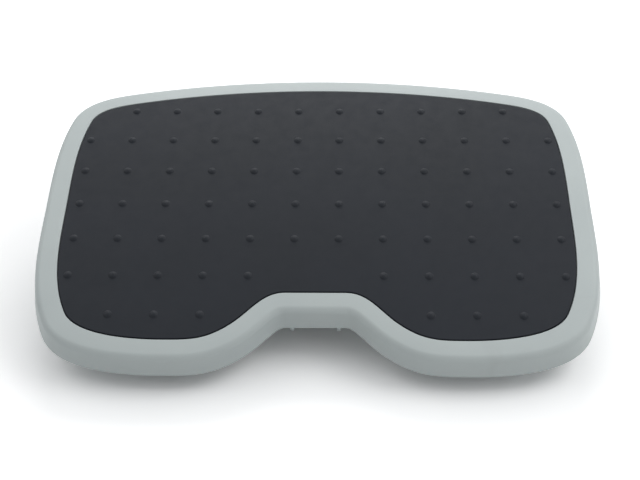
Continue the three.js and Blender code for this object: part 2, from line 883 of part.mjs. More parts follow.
function screwPlaces() {
  return [[screwX, screwY], [-screwX, screwY], [screwX, -screwY], [-screwX, -screwY]];
}

// A pan head screw that holds the sector's foot
function sectorScrew([x, y]) {
  const seat = frameTop + gap + sectorFootThickness + gap;
  const geometry = turned([
    [0, seat - screwLength],
    [screwShankRadius / 2, seat - screwLength],
    [screwShankRadius, seat - screwLength + screwShankRadius],
    [screwShankRadius, seat],
    [screwHeadRadius, seat],
    [screwHeadRadius, seat + screwHeadHeight / 2],
    [screwHeadRadius * screwCrownShare, seat + screwHeadHeight],
    [0, seat + screwHeadHeight],
  ], smallSides);
  geometry.translate(x, y, 0);
  return solid(geometry);
}

// The lever between pedal and shoe
function brakeArm() {
  const heading = Math.PI + shoeDip;
  const seat = sectorRadius + gap + shoeThickness + gap;
  const outer = seat + backingThickness;
  const backing = arcBand(axle, seat, outer, heading - backingHalfAngle, heading + backingHalfAngle);
  const backingMiddle = polar(axle, (seat + outer) / 2, heading);
  const tail = brakeTailWidth / 2;
  const wide = shoeWidth / 2;
  const bossHalf = webInner - pedalSideClearance;
  const body = join(
    crossBar(brakePin, brakeBossRadius, -bossHalf, bossHalf, roundSides),
    sidePlate(capsule(brakePin, peg, brakeTailRadius), -tail, tail),
    sidePlate(capsule(peg, peg, brakeForkRadius), -tail, tail),
    sidePlate(capsule(brakePin, backingMiddle, brakeTailRadius), -wide, wide),
    sidePlate(backing, -wide, wide),
  );
  const mouth = peg.clone().add(pedalPin.clone().sub(peg).setLength(brakeForkRadius + overrun));
  return cut(
    body,
    sidePlate(capsule(peg, mouth, pegRadius + forkClearance), -tail - overrun, tail + overrun),
    crossBar(axle, seat, -wide - overrun, wide + overrun, backingSides),
    crossBar(brakePin, brakePinRadius + gap, -bossHalf - overrun, bossHalf + overrun),
  );
}

function brakeShoe() {
  const heading = Math.PI + shoeDip;
  const face = sectorRadius + gap;
  const band = arcBand(axle, face, face + shoeThickness, heading - shoeHalfAngle, heading + shoeHalfAngle);
  return sidePlate(band, -shoeWidth / 2, shoeWidth / 2);
}

// The toe paddle with two arms that straddle the brake arm's fork
function releasePedal() {
  const half = webInner - pedalSideClearance;
  const armInner = brakeTailWidth / 2 + pedalSideClearance;
  const armOuter = armInner + pedalArmWidth;
  const arms = [-1, 1].map((side) => {
    const ends = [side * armInner, side * armOuter].sort((a, b) => a - b);
    return sidePlate(capsule(pedalPin, peg, pedalArmRadius), ends[0], ends[1]);
  });
  const pad = springPadWidth / 2;
  const stem = springPadThickness / 2;
  const padLow = springPadTop - springPadThickness;
  const body = join(
    crossBar(pedalPin, pedalBossRadius, -half, half, roundSides),
    sidePlate(capsule(pedalPin, paddleEnd, paddleRadius), -half, half),
    ...arms,
    crossBar(peg, pegRadius, -armOuter, armOuter),
    block(-armOuter, armOuter, springY - pad, springY + pad, padLow, springPadTop),
    block(-armOuter, armOuter, springY - stem, springY + stem, pedalPin.y, springPadTop),
  );
  return cut(body, crossBar(pedalPin, pedalPinRadius + gap, -half - overrun, half + overrun));
}

// The ribbed rubber facing on the paddle's front
function pedalTread() {
  const along = paddleEnd.clone().sub(pedalPin).normalize();
  const forward = new THREE.Vector2(along.y, -along.x);
  const place = (distance, out) => pedalPin.clone()
    .add(along.clone().multiplyScalar(distance))
    .add(forward.clone().multiplyScalar(out));
  const back = paddleRadius + gap;
  const front = back + treadThickness;
  const from = pedalBossRadius + treadInset / 2;
  const to = paddleLength;
  const points = [place(from, back), place(from, front)];
  for (let rib = 0; rib < treadRibs; rib += 1) {
    const start = THREE.MathUtils.lerp(from, to, (rib + (1 - treadRibShare) / 2) / treadRibs);
    const end = THREE.MathUtils.lerp(from, to, (rib + (1 + treadRibShare) / 2) / treadRibs);
    points.push(place(start, front), place(start, front + treadRib));
    points.push(place(end, front + treadRib), place(end, front));
  }
  points.push(place(to, front), place(to, back));
  const half = webInner - pedalSideClearance - treadInset;
  return sidePlate(new THREE.Shape(points), -half, half);
}

// The least gap between a coiled wire's turns, measured on the points along its middle
function leastGap(middles, wire) {
  const half = springStepsPerCoil / 2;
  const gaps = middles.flatMap((point, order) => (
    middles.slice(order + half).map((other) => point.distanceTo(other) - 2 * wire)
  ));
  return Math.min(...gaps);
}

// The return spring stands on the pedal's pad and bears on the platform's underside
function pedalSpring() {
  const low = springPadTop + gap + springWire;
  const high = crown(springY) + plateUnderside - gap - springWire;
  const steps = springCoils * springStepsPerCoil;
  const middles = [];
  const position = [];
  const index = [];
  const ring = (share) => {
    const turn = share * springCoils * Math.PI * 2;
    const out = new THREE.Vector3(Math.cos(turn), Math.sin(turn), 0);
    const middle = out.clone().multiplyScalar(springRadius);
    middle.add(new THREE.Vector3(0, springY, THREE.MathUtils.lerp(low, high, share)));
    middles.push(middle);
    for (let side = 0; side < springWireSides; side += 1) {
      const angle = (side / springWireSides) * Math.PI * 2;
      const point = middle.clone().addScaledVector(out, springWire * Math.cos(angle));
      point.z += springWire * Math.sin(angle);
      position.push(point.x, point.y, point.z);
    }
  };
  for (let step = 0; step <= steps; step += 1) {
    ring(step / steps);
  }
  for (let step = 0; step < steps; step += 1) {
    for (let side = 0; side < springWireSides; side += 1) {
      const here = step * springWireSides + side;
      const next = step * springWireSides + ((side + 1) % springWireSides);
      index.push(here, next, next + springWireSides, here, next + springWireSides, here + springWireSides);
    }
  }
  const last = steps * springWireSides;
  for (let side = 1; side < springWireSides - 1; side += 1) {
    index.push(side + 1, side, 0);
    index.push(last, last + side, last + side + 1);
  }
  console.log('spring: least gap between turns', leastGap(middles, springWire).toFixed(2));
  const geometry = new THREE.BufferGeometry();
  geometry.setAttribute('position', new THREE.Float32BufferAttribute(position, 3));
  geometry.setIndex(index);
  return solid(geometry);
}

// The base's H outline, clockwise from the middle of the bridge's rear edge
function frameOutline() {
  const railInner = railX - railHalf;
  const railOuter = railX + railHalf;
  const waist = Math.asin(railHalf / padRadius);
  const fillet = new THREE.EllipseCurve(
    railInner - bridgeFillet, bridgeHalf + bridgeFillet, bridgeFillet, bridgeFillet, -Math.PI / 2, 0,
  );
  const pad = new THREE.EllipseCurve(
    railX, padY, padRadius, padRadius, Math.PI * 1.5 - waist, waist - Math.PI / 2, true,
  );
  const rearRight = [
    new THREE.Vector2(0, bridgeHalf),
    ...fillet.getPoints(filletSteps),
    ...pad.getPoints(padSteps),
    new THREE.Vector2(railOuter, 0),
  ];
  const frontRight = rearRight.slice(0, -1).reverse().map((point) => new THREE.Vector2(point.x, -point.y));
  const right = [...rearRight, ...frontRight];
  const left = right.slice(1, -1).reverse().map((point) => new THREE.Vector2(-point.x, point.y));
  return [...right, ...left];
}

function padPlaces() {
  return [[railX, padY], [-railX, padY], [railX, -padY], [-railX, -padY]];
}

// The underside is hollow, with ribs left across the channel
function frameHollow(outline) {
  const ceiling = frameTop - frameWall;
  const hollow = loft(outline, [
    [-frameWall, footProud - overrun],
    [-frameWall, ceiling - frameRound],
    [-frameWall - frameRound / 2, ceiling],
  ]);
  const half = frameRib / 2;
  const reach = railX + railHalf;
  const low = footProud - 2 * overrun;
  const acrossRails = railRibShares.flatMap((share) => [-share, share]).flatMap((share) => (
    [-1, 1].map((side) => {
      const y = share * padY;
      const ends = [side * (railX - railHalf), side * reach].sort((a, b) => a - b);
      return block(ends[0], ends[1], y - half, y + half, low, frameTop);
    })
  ));
  const acrossBridge = bridgeRibShares.flatMap((share) => [-share, share]).map((share) => (
    block(share * railX - half, share * railX + half, -bridgeHalf, bridgeHalf, low, frameTop)
  ));
  const spine = block(-railX + railHalf, railX - railHalf, -half, half, low, frameTop);
  const bosses = padPlaces().map(([x, y]) => post(x, y, footBossRadius, low, frameTop, roundSides));
  const screwBosses = screwPlaces().map(([x, y]) => post(x, y, screwBossRadius, low, frameTop));
  return cut(hollow, ...acrossRails, ...acrossBridge, spine, ...bosses, ...screwBosses);
}

// An upright that holds the axle's bush, with a gusset on its outer side
function cheek(side) {
  const centre = new THREE.Vector2(0, axleHeight);
  const front = new THREE.Vector2(-cheekFootHalf, frameTop - weld);
  const rear = new THREE.Vector2(cheekFootHalf, frameTop - weld);
  const from = touching(rear, centre, cheekTopRadius, 1);
  const to = touching(front, centre, cheekTopRadius, -1);
  const shape = new THREE.Shape([front, rear]);
  shape.absarc(centre.x, centre.y, cheekTopRadius, from - Math.PI * 2, to);
  const window = new THREE.Path();
  const windowHeight = frameTop + cheekWindowHeight;
  window.absarc(0, windowHeight, cheekWindowRadius, 0, Math.PI * 2, true);
  shape.holes.push(window);
  const ends = [side * cheekInner, side * cheekOuter].sort((a, b) => a - b);
  const plate = sidePlate(shape, ends[0], ends[1]);
  const rib = new THREE.Shape();
  const root = cheekOuter - weld;
  rib.moveTo(side * root, frameTop - weld);
  rib.lineTo(side * (root + gussetReach), frameTop - weld);
  rib.lineTo(side * root, axleHeight - gussetTopDrop);
  const geometry = new THREE.ExtrudeGeometry(rib, { depth: gussetThickness, bevelEnabled: false });
  geometry.rotateX(Math.PI / 2);
  const gussets = [-1, 1].map((end) => {
    const copy = geometry.clone();
    copy.translate(0, end * (cheekFootHalf - 2 * gussetThickness) / 2 + gussetThickness / 2, 0);
    return solid(copy);
  });
  return join(plate, ...gussets);
}

function baseFrame() {
  const outline = frameOutline();
  const rings = [[-footEase, footProud], [0, footProud + footEase]];
  for (let step = 0; step <= frameRoundSteps; step += 1) {
    const angle = ((step / frameRoundSteps) * Math.PI) / 2;
    rings.push([frameRound * (Math.cos(angle) - 1), frameTop + frameRound * (Math.sin(angle) - 1)]);
  }
  const shell = loft(outline, rings);
  const axleCentre = new THREE.Vector2(0, axleHeight);
  const reach = cheekOuter + overrun;
  const seats = padPlaces().map(([x, y]) => (
    post(x, y, footRadius + gap, footProud - overrun, footProud + footSeat, roundSides)
  ));
  const pilots = screwPlaces().map(([x, y]) => (
    post(x, y, screwShankRadius + gap, footProud - overrun, frameTop + overrun)
  ));
  const body = join(cut(shell, frameHollow(outline)), ...[-1, 1].map(cheek));
  return cut(body, crossBar(axleCentre, bushRadius + gap, -reach, reach, roundSides), ...seats, ...pilots);
}

// A rubber foot pressed into its seat, with a ring groove in its sole
function rubberFoot([x, y]) {
  const top = footProud + footSeat - gap;
  const geometry = turned([
    [0, footEase / 2],
    [footRadius / 2, footEase / 2],
    [footRadius / 2 + footEase, 0],
    [footRadius - footEase, 0],
    [footRadius, footEase],
    [footRadius, top],
    [0, top],
  ]);
  geometry.translate(x, y, 0);
  return solid(geometry);
}

// The base and all that stays with it
const footrest = new THREE.Group();
const base = new THREE.Group();
footrest.add(base);
addPiece(base, 'base_frame', baseFrame(), darkPlastic);
const cornerNames = ['rear_right', 'rear_left', 'front_right', 'front_left'];
padPlaces().forEach((place, order) => {
  addPiece(base, `rubber_foot_${cornerNames[order]}`, rubberFoot(place), footRubber);
});
screwPlaces().forEach((place, order) => {
  addPiece(base, `sector_screw_${cornerNames[order]}`, sectorScrew(place), steel);
});
const atAxle = new THREE.Group();
atAxle.position.z = axleHeight;
base.add(atAxle);
addPiece(atAxle, 'tilt_sector', tiltSector(), darkPlastic);
addPiece(atAxle, 'axle_bush_left', axleBush(-1), nylon);
addPiece(atAxle, 'axle_bush_right', axleBush(1), nylon);

// The platform tilts about the axle; its pieces are drawn from the crest of its crown
const tilt = new THREE.Group();
tilt.position.z = axleHeight;
tilt.rotation.x = restTilt;
footrest.add(tilt);
const deck = new THREE.Group();
deck.position.z = axleDepth;
tilt.add(deck);
addPiece(deck, 'platform_shell', platformShell(), greyPlastic);
addPiece(deck, 'foot_mat', footMat(), matRubber);
addPiece(deck, 'axle_rod', axleRod(), steel);
addPiece(deck, 'retaining_ring_left', retainingRing(-1), steel);
addPiece(deck, 'retaining_ring_right', retainingRing(1), steel);
addPiece(deck, 'friction_washer_left', frictionWasher(-1), footRubber);
addPiece(deck, 'friction_washer_right', frictionWasher(1), footRubber);
addPiece(deck, 'tilt_stop_pin', headedPin(stopPin, stopPinRadius, webOuter + pinTail), steel);
addPiece(deck, 'brake_arm_pin', headedPin(brakePin, brakePinRadius, webOuter + pinTail), steel);
addPiece(deck, 'pedal_pin', headedPin(pedalPin, pedalPinRadius, webOuter + pinTail), steel);
addPiece(deck, 'pedal_spring', pedalSpring(), steel);

// The lock
addPiece(deck, 'brake_arm', brakeArm(), darkPlastic);
addPiece(deck, 'brake_shoe', brakeShoe(), footRubber);
addPiece(deck, 'release_pedal', releasePedal(), darkPlastic);
addPiece(deck, 'pedal_tread', pedalTread(), footRubber);

export default footrest;
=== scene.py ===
"""Tilting under desk footrest: fine forms, materials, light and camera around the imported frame."""

import math

import bpy
import numpy as np
from mathutils import Matrix, Vector
from mathutils.geometry import delaunay_2d_cdt, tessellate_polygon


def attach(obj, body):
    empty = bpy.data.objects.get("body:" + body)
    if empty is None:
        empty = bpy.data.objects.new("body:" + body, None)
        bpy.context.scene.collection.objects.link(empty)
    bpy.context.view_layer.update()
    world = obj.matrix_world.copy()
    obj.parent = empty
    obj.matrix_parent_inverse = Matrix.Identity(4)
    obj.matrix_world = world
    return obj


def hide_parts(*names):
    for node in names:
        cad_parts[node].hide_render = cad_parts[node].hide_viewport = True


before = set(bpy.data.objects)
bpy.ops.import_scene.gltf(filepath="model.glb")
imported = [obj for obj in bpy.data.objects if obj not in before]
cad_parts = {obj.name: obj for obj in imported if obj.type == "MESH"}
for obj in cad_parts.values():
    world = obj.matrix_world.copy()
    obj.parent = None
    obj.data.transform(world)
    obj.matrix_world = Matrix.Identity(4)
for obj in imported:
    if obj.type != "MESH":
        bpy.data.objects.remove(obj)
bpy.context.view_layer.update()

# ---------------------------------------------------------------- sizes, in millimetres
MM = 0.001
GAP = 0.3
OVER = 6.0
TURN = 2 * math.pi

REST_TILT = math.radians(15)
STEEPEST = math.radians(18)
AXLE_HEIGHT = 77.0
AXLE_DEPTH = 24.0

MAT_HALF_WIDTH = 257.0
MAT_HALF_DEPTH = 162.5
# x and y as shares, heading in degrees clockwise from +X, handles in and out as shares of the half width
MAT_STATIONS = (
    (0.0, 1.01, 0, 0.0, 0.258),
    (0.777, 0.884, 12, 0.258, 0.083),
    (0.962, 0.713, 74, 0.072, 0.149),
    (1.0, 0.0, 90, 0.149, 0.171),
    (0.941, -0.816, 116, 0.171, 0.12),
    (0.564, -0.994, 180, 0.072, 0.105),
    (0.322, -0.895, 216, 0.105, 0.091),
    (0.115, -0.672, 180, 0.091, 0.0),
)
EDGE_STEPS = (26, 22, 22, 24, 26, 20, 22)

CROWN_RADIUS = 2020.0
POCKET_DEPTH = 2.5
PLATE = 3.0
GROOVE = 1.1
RIM_EASE = 0.6
RIM_WIDTH = 14.0
RIM_FALL = 0.4
RIM_RADIUS = 7.0
REAR_SPREAD = -0.055
SIDE_SPREAD = 0.06
CORNER_SPREAD = 0.2
SKIRT_HEIGHT = 25.0
SKIRT_DRAFT = 3.2
SKIRT_WALL = 3.0
SKIRT_LIP = 1.0
SKIRT_FILLET = 3.0
RIB = 2.6
RIB_DEPTH = 16.0
WELD = 1.0
RIB_ROW_SHARES = (0.78, 0.5)
LOBE_RIB_X = 68.0
LONG_RIB_X = 199.0
SHELL_GRID = 24.0
KEEP_GRID = 40.0
MAT_GRID = 9.0

# chamfers of moulded edges
RING_EASE = 0.15
SHOE_EASE = 0.3
ARM_EASE = 0.4
WEB_EASE = 0.5
BOSS_EASE = 0.6
CHEEK_EASE = 0.8

MAT_THICKNESS = 2.4
MAT_EASE = 0.5
MAT_BORDER = 1.6
# a low flange of the mat fills the foot of the groove round it; its dark rubber there stands in as
# painted shade, so the groove shows as a black line
FLANGE_OUT = 0.8
FLANGE = 0.5
DOME_PITCH = 44.5
DOME_REAR_INSET = 31.0
DOME_EDGE_INSET = 6.0
BARE_HALF_WIDTH = 40.0
BARE_DEPTH = 30.0
DOME_SIDES = 28
# radius and height of the rings of a dome, from its foot to its crest
DOME_RINGS = (
    (4.8, 0.0), (4.45, 0.03), (4.2, 0.12), (4.0, 0.29), (3.8, 0.5), (3.45, 0.8),
    (3.0, 1.1), (2.4, 1.41), (1.65, 1.67), (0.85, 1.84),
)
DOME_HEIGHT = 1.9

AXLE_RADIUS = 4.0
BUSH_RADIUS = 6.0
BUSH_FLANGE_RADIUS = 9.0
BUSH_FLANGE = 1.5
WASHER = 1.6
WASHER_RADIUS = 10.0
HANGER_X = 110.0
HANGER = 8.0
HANGER_RADIUS = 11.0
HANGER_FOOT = 42.0
CHEEK = 9.0
RING = 1.2
RING_RADIUS = 7.6
RING_GROOVE = 0.8
RING_MOUTH = math.radians(35)
AXLE_TAIL = 4.0

WEB_X = 23.0
WEB = 4.0
WEB_DEPTH = 22.0
WEB_REAR = 62.0
WEB_RISE = 14.0
KEEL_BELOW = 12.0
KEEL_FRONT = 14.0
KEEL_MARGIN = 8.4
LUG_RADIUS = 9.5
LUG_SETBACK = 2.3
LUG_DROP = 18.8

PEDAL_PIN_RADIUS = 2.0
PEDAL_BOSS = 5.5
PADDLE = 14.0
PADDLE_LEAN = math.radians(27)
PADDLE_RADIUS = 2.2
PEDAL_ARM = 5.0
PEDAL_ARM_RADIUS = 2.8
PEG_RADIUS = 2.5
TREAD = 1.6
TREAD_RIB = 0.8
TREAD_INSET = 2.5
SPRING_PAD = 9.0
SPRING_STEM = 2.0
SIDE_CLEARANCE = 0.7
SPRING_RADIUS = 3.9
SPRING_WIRE = 0.6
SPRING_COILS = 6
COIL_STEPS = 28
WIRE_SIDES = 12
SPRING_BACK = 11.0

BRAKE_PIN_AHEAD = 14.0
BRAKE_PIN_RISE = 11.0
BRAKE_PIN_RADIUS = 2.5
BRAKE_BOSS = 6.0
BRAKE_TAIL = 7.4
BRAKE_TAIL_RADIUS = 3.6
FORK_RADIUS = 6.0
FORK_CLEARANCE = 0.35
FORK_REACH = 24.7
FORK_RISE = 13.6
SHOE = 4.0
SHOE_WIDTH = 15.0
SHOE_HALF = math.radians(6.2)
SHOE_DIP = math.radians(8)
BACKING = 3.6
BACKING_HALF = math.radians(8.5)
SECTOR_RADIUS = 46.0
SECTOR_RIM = 5.0
SECTOR_RIM_WIDTH = 16.0
SECTOR_WEB = 6.0
HUB_RADIUS = 9.0
HUB_CLEARANCE = 4.0
HUB_CREST = math.radians(18)
WINDOW_INSET = 6.0
LEG_HALF = 15.0
SECTOR_FOOT_HALF = 19.0
SECTOR_FOOT_INSET = 6.0
SECTOR_FOOT = 5.0
SECTOR_GUSSET = 5.0
EAR_RADIUS = 33.0
STOP_PIN_RADIUS = 2.5
STOP_PIN_DISTANCE = 26.0
STOP_PIN_DIP = math.radians(10)
STOP_SLACK = math.radians(0.8)
PIN_HEAD_RADIUS = 4.2
PIN_HEAD = 1.6
PIN_TAIL = 1.6

FOOT_PROUD = 2.5
FRAME_HEIGHT = 16.0
FRAME_ROUND = 5.0
FRAME_WALL = 3.0
RAIL_X = 165.0
RAIL_HALF = 15.0
PAD_Y = 116.0
PAD_RADIUS = 23.0
BRIDGE_HALF = 36.0
BRIDGE_FILLET = 18.0
FRAME_RIB = 2.4
RAIL_RIBS = (0.34, 0.63)
BRIDGE_RIBS = (0.2, 0.45, 0.72)
FOOT_RADIUS = 15.0
FOOT_SEAT = 1.5
FOOT_BOSS = 21.5
FOOT_EASE = 1.0
CHEEK_TOP = 14.0
CHEEK_WINDOW = 7.0
CHEEK_WINDOW_RISE = 17.0
GUSSET = 5.0
GUSSET_REACH = 20.0
GUSSET_DROP = 24.0
SHANK = 1.7
SCREW_HEAD = 3.8
SCREW_HEAD_HEIGHT = 2.0
SCREW_LENGTH = 9.0
SCREW_INSET = 6.5
SCREW_BOSS = 5.0
CROSS_REACH = 1.8
CROSS_HALF = 0.4
CROSS_DEPTH = 1.1


def crown(y):
    """Height of the crowned top below its crest."""
    return math.sqrt(CROWN_RADIUS ** 2 - y ** 2) - CROWN_RADIUS


def four_places(x, y):
    return [(x, y), (-x, y), (x, -y), (-x, -y)]


RIM_OUTER = GROOVE + RIM_WIDTH + RIM_RADIUS
SKIRT_OUTER = RIM_OUTER + SKIRT_DRAFT
PLATE_UNDER = -(POCKET_DEPTH + PLATE)
NOTCH_EDGE = MAT_STATIONS[-1][1] * MAT_HALF_DEPTH
APRON_INNER = NOTCH_EDGE - SKIRT_OUTER + SKIRT_WALL
WEB_INNER = WEB_X - WEB / 2
WEB_OUTER = WEB_X + WEB / 2
HANGER_OUTER = HANGER_X + HANGER / 2
CHEEK_INNER = HANGER_OUTER + WASHER + BUSH_FLANGE + 3 * GAP
CHEEK_OUTER = CHEEK_INNER + CHEEK
FRAME_TOP = FOOT_PROUD + FRAME_HEIGHT
CHEEK_FOOT = BRIDGE_HALF - FRAME_ROUND
HUB_HALF = WEB_INNER - HUB_CLEARANCE
SECTOR_FOOT_DEPTH = BRIDGE_HALF - SECTOR_FOOT_INSET
SCREW_X = SECTOR_FOOT_HALF - SCREW_INSET
SCREW_Y = SECTOR_FOOT_DEPTH - SCREW_INSET
PADS = four_places(RAIL_X, PAD_Y)
SCREWS = four_places(SCREW_X, SCREW_Y)
AXLE = np.array((0.0, -AXLE_DEPTH))


def polar(centre, distance, angle):
    return np.array(centre) + distance * np.array((math.cos(angle), math.sin(angle)))


PEDAL_PIN = np.array((
    APRON_INNER + LUG_SETBACK + LUG_RADIUS,
    crown(APRON_INNER) - SKIRT_HEIGHT - LUG_DROP + LUG_RADIUS,
))
PADDLE_END = polar(PEDAL_PIN, PADDLE, PADDLE_LEAN - math.pi / 2)
BRAKE_PIN = AXLE + (-SECTOR_RADIUS - BRAKE_PIN_AHEAD, BRAKE_PIN_RISE)
PEG = PEDAL_PIN + (FORK_REACH, FORK_RISE)
STOP_PIN = polar(AXLE, STOP_PIN_DISTANCE, -STOP_PIN_DIP)
KEEL_REAR = STOP_PIN[0] + KEEL_MARGIN
SPRING_Y = PEDAL_PIN[0] + SPRING_BACK
SPRING_PAD_TOP = PEDAL_PIN[1] + SPRING_BACK

DECK = (
    Matrix.Translation((0, 0, AXLE_HEIGHT * MM))
    @ Matrix.Rotation(REST_TILT, 4, "X")
    @ Matrix.Translation((0, 0, AXLE_DEPTH * MM))
)
AT_AXLE = Matrix.Translation((0, 0, AXLE_HEIGHT * MM))
ON_FLOOR = Matrix.Identity(4)


# ---------------------------------------------------------------- building solids
def new_object(name, verts, faces):
    """A mesh object from points in millimetres, with its faces turned outwards."""
    points = np.array(verts, float)
    volume = 0.0
    for face in faces:
        for near, far in zip(face[1:-1], face[2:]):
            volume += points[face[0]] @ np.cross(points[near], points[far])
    if volume < 0:
        faces = [tuple(reversed(face)) for face in faces]
    mesh = bpy.data.meshes.new(name)
    mesh.from_pydata((points * MM).tolist(), [], faces)
    mesh.update()
    obj = bpy.data.objects.new(name, mesh)
    bpy.context.scene.collection.objects.link(obj)
    return obj


def combine(obj, tools, operation):
    """Joins the tools to a solid or cuts them from it, and removes them."""
    for tool in tools:
        step = obj.modifiers.new(operation, "BOOLEAN")
        step.operation = operation
        step.solver = "MANIFOLD"
        step.object = tool
    graph = bpy.context.evaluated_depsgraph_get()
    mesh = bpy.data.meshes.new_from_object(obj.evaluated_get(graph))
    obj.modifiers.clear()
    obj.data = mesh
    for tool in tools:
        bpy.data.objects.remove(tool)
    return obj


def join(obj, *tools):
    return combine(obj, tools, "UNION")


def cut(obj, *tools):
    return combine(obj, tools, "DIFFERENCE")


def offset(points, distance):
    """A closed outline moved out of what lies on its left."""
    points = np.array(points, float)
    back = points - np.roll(points, 1, axis=0)
    back /= np.linalg.norm(back, axis=1)[:, None]
    forth = np.roll(back, -1, axis=0)
    along = back + forth
    along /= np.linalg.norm(along, axis=1)[:, None]
    stretch = distance / np.sum(along * back, axis=1)
    return points + np.stack((along[:, 1], -along[:, 0]), axis=1) * stretch[:, None]


def area(points):
    points = np.array(points, float)
    after = np.roll(points, -1, axis=0)
    return np.sum(points[:, 0] * after[:, 1] - points[:, 1] * after[:, 0]) / 2


def turned_to(points, sign):
    points = np.array(points, float)
    return points if area(points) * sign > 0 else points[::-1]


def strip(start, size, step):
    """Faces between a closed loop of points and the loop that begins a step further on."""
    pairs = [(start + order, start + (order + 1) % size) for order in range(size)]
    return [(here, after, after + step, here + step) for here, after in pairs]


def stack(loops, levels, place):
    """A solid through levels of an outline and its holes, each at an offset and a height."""
    count = sum(len(loop) for loop in loops)
    verts, faces = [], []
    for out, height in levels:
        for loop in loops:
            verts += [place(u, v, height) for u, v in (offset(loop, out) if out else loop)]
    for ring in range(len(levels) - 1):
        start = ring * count
        for loop in loops:
            faces += strip(start, len(loop), count)
            start += len(loop)
    every = np.vstack(loops)
    top = (len(levels) - 1) * count
    for triangle in tessellate_polygon([[Vector((u, v, 0)) for u, v in loop] for loop in loops]):
        triangle = list(triangle)
        if area(every[triangle]) < 0:
            triangle.reverse()
        faces.append(tuple(reversed(triangle)))
        faces.append(tuple(top + corner for corner in triangle))
    return new_object("solid", verts, faces)


def prism(outline, low, high, place, chamfer=0.0, holes=()):
    """A plate with the outline's section from low to high, its edges chamfered."""
    loops = [turned_to(outline, 1)] + [turned_to(hole, -1) for hole in holes]
    levels = [(-chamfer, low), (0.0, low + chamfer), (0.0, high - chamfer), (-chamfer, high)]
    if chamfer == 0:
        levels = [(0.0, low), (0.0, high)]
    return stack(loops, levels, place)


def across(u, v, level):
    return (level, u, v)


def upright(u, v, level):
    return (u, v, level)


def along_y(u, v, level):
    return (u, -level, v)


def plate(outline, from_x, to_x, chamfer=0.0, holes=()):
    """A plate whose outline is drawn in (y, z), between two places along X."""
    return prism(outline, min(from_x, to_x), max(from_x, to_x), across, chamfer, holes)


def corners(x, y):
    return [(x[0], y[0]), (x[1], y[0]), (x[1], y[1]), (x[0], y[1])]


def block(x, y, z):
    return prism(corners(x, y), z[0], z[1], upright)


def lathe(profile, place, sides=64):
    """A turned piece: points of radius and height, from axis to axis or a closed ring."""
    poles = profile[0][0] == 0
    rows = profile[1:-1] if poles else profile
    verts = []
    for radius, height in rows:
        for step in range(sides):
            angle = TURN * step / sides
            verts.append(place(radius * math.cos(angle), radius * math.sin(angle), height))
    faces = []
    pairs = len(rows) - 1 if poles else len(rows)
    for row in range(pairs):
        upper = (row + 1) % len(rows)
        faces += strip(row * sides, sides, (upper - row) * sides)
    if poles:
        for row, height, flip in ((0, profile[0][1], True), (len(rows) - 1, profile[-1][1], False)):
            pole = len(verts)
            verts.append(place(0, 0, height))
            for step in range(sides):
                face = (row * sides + step, row * sides + (step + 1) % sides, pole)
                faces.append(tuple(reversed(face)) if flip else face)
    return new_object("turned", verts, faces)


def about(centre):
    """Places a turned piece's axis along X through a point in (y, z)."""
    return lambda u, v, height: (height, centre[0] + u, centre[1] + v)


def standing(x, y):
    return lambda u, v, height: (x + u, y + v, height)


def bar(centre, radius, from_x, to_x, ease=0.0, sides=48):
    low, high = min(from_x, to_x), max(from_x, to_x)
    profile = [(0, low), (radius - ease, low), (radius, low + ease)]
    profile += [(radius, high - ease), (radius - ease, high), (0, high)]
    if ease == 0:
        profile = [(0, low), (radius, low), (radius, high), (0, high)]
    return lathe(profile, about(centre), sides)


def post(x, y, radius, from_z, to_z, sides=48):
    return lathe([(0, from_z), (radius, from_z), (radius, to_z), (0, to_z)], standing(x, y), sides)


def arc(centre, radius, start, end, steps=16):
    return [polar(centre, radius, start + (end - start) * step / steps) for step in range(steps + 1)]


def capsule(from_point, to_point, radius, steps=16):
    heading = math.atan2(to_point[1] - from_point[1], to_point[0] - from_point[0])
    quarter = math.pi / 2
    return (
        arc(to_point, radius, heading - quarter, heading + quarter, steps)
        + arc(from_point, radius, heading + quarter, heading + 3 * quarter, steps)
    )


def band(centre, inner, outer, start, end, steps=24):
    return arc(centre, outer, start, end, steps) + arc(centre, inner, end, start, steps)


def touching(from_point, centre, radius, side):
    """Where a line from a point touches a circle, anticlockwise (1) or clockwise (-1) of it."""
    away = np.array(from_point, float) - centre
    return math.atan2(away[1], away[0]) + side * math.acos(radius / np.linalg.norm(away))


def crown_line(from_y, to_y, depth, steps=40):
    """Points that follow the crown at a depth below it."""
    return [(y, crown(y) - depth) for y in np.linspace(from_y, to_y, steps + 1)]


# ---------------------------------------------------------------- platform and mat outline
def mat_edge():
    """The mat's edge, anticlockwise, as plan points."""
    half = []
    for (x0, y0, head0, _, out0), (x1, y1, head1, in1, _), steps in zip(
        MAT_STATIONS, MAT_STATIONS[1:], EDGE_STEPS
    ):
        scale = np.array((MAT_HALF_WIDTH, MAT_HALF_DEPTH))
        start, end = np.array((x0, y0)) * scale, np.array((x1, y1)) * scale
        leave = np.array((math.cos(math.radians(head0)), -math.sin(math.radians(head0))))
        reach = np.array((math.cos(math.radians(head1)), -math.sin(math.radians(head1))))
        first, second = start + leave * out0 * MAT_HALF_WIDTH, end - reach * in1 * MAT_HALF_WIDTH
        for step in range(steps):
            t = step / steps
            half.append(
                (1 - t) ** 3 * start + 3 * (1 - t) ** 2 * t * first
                + 3 * (1 - t) * t * t * second + t ** 3 * end
            )
    half.append(np.array(MAT_STATIONS[-1][:2]) * (MAT_HALF_WIDTH, MAT_HALF_DEPTH))
    half = np.array(half)
    left = half[1:][::-1] * (-1, 1)
    return turned_to(np.vstack((half, left)), 1)


EDGE = mat_edge()


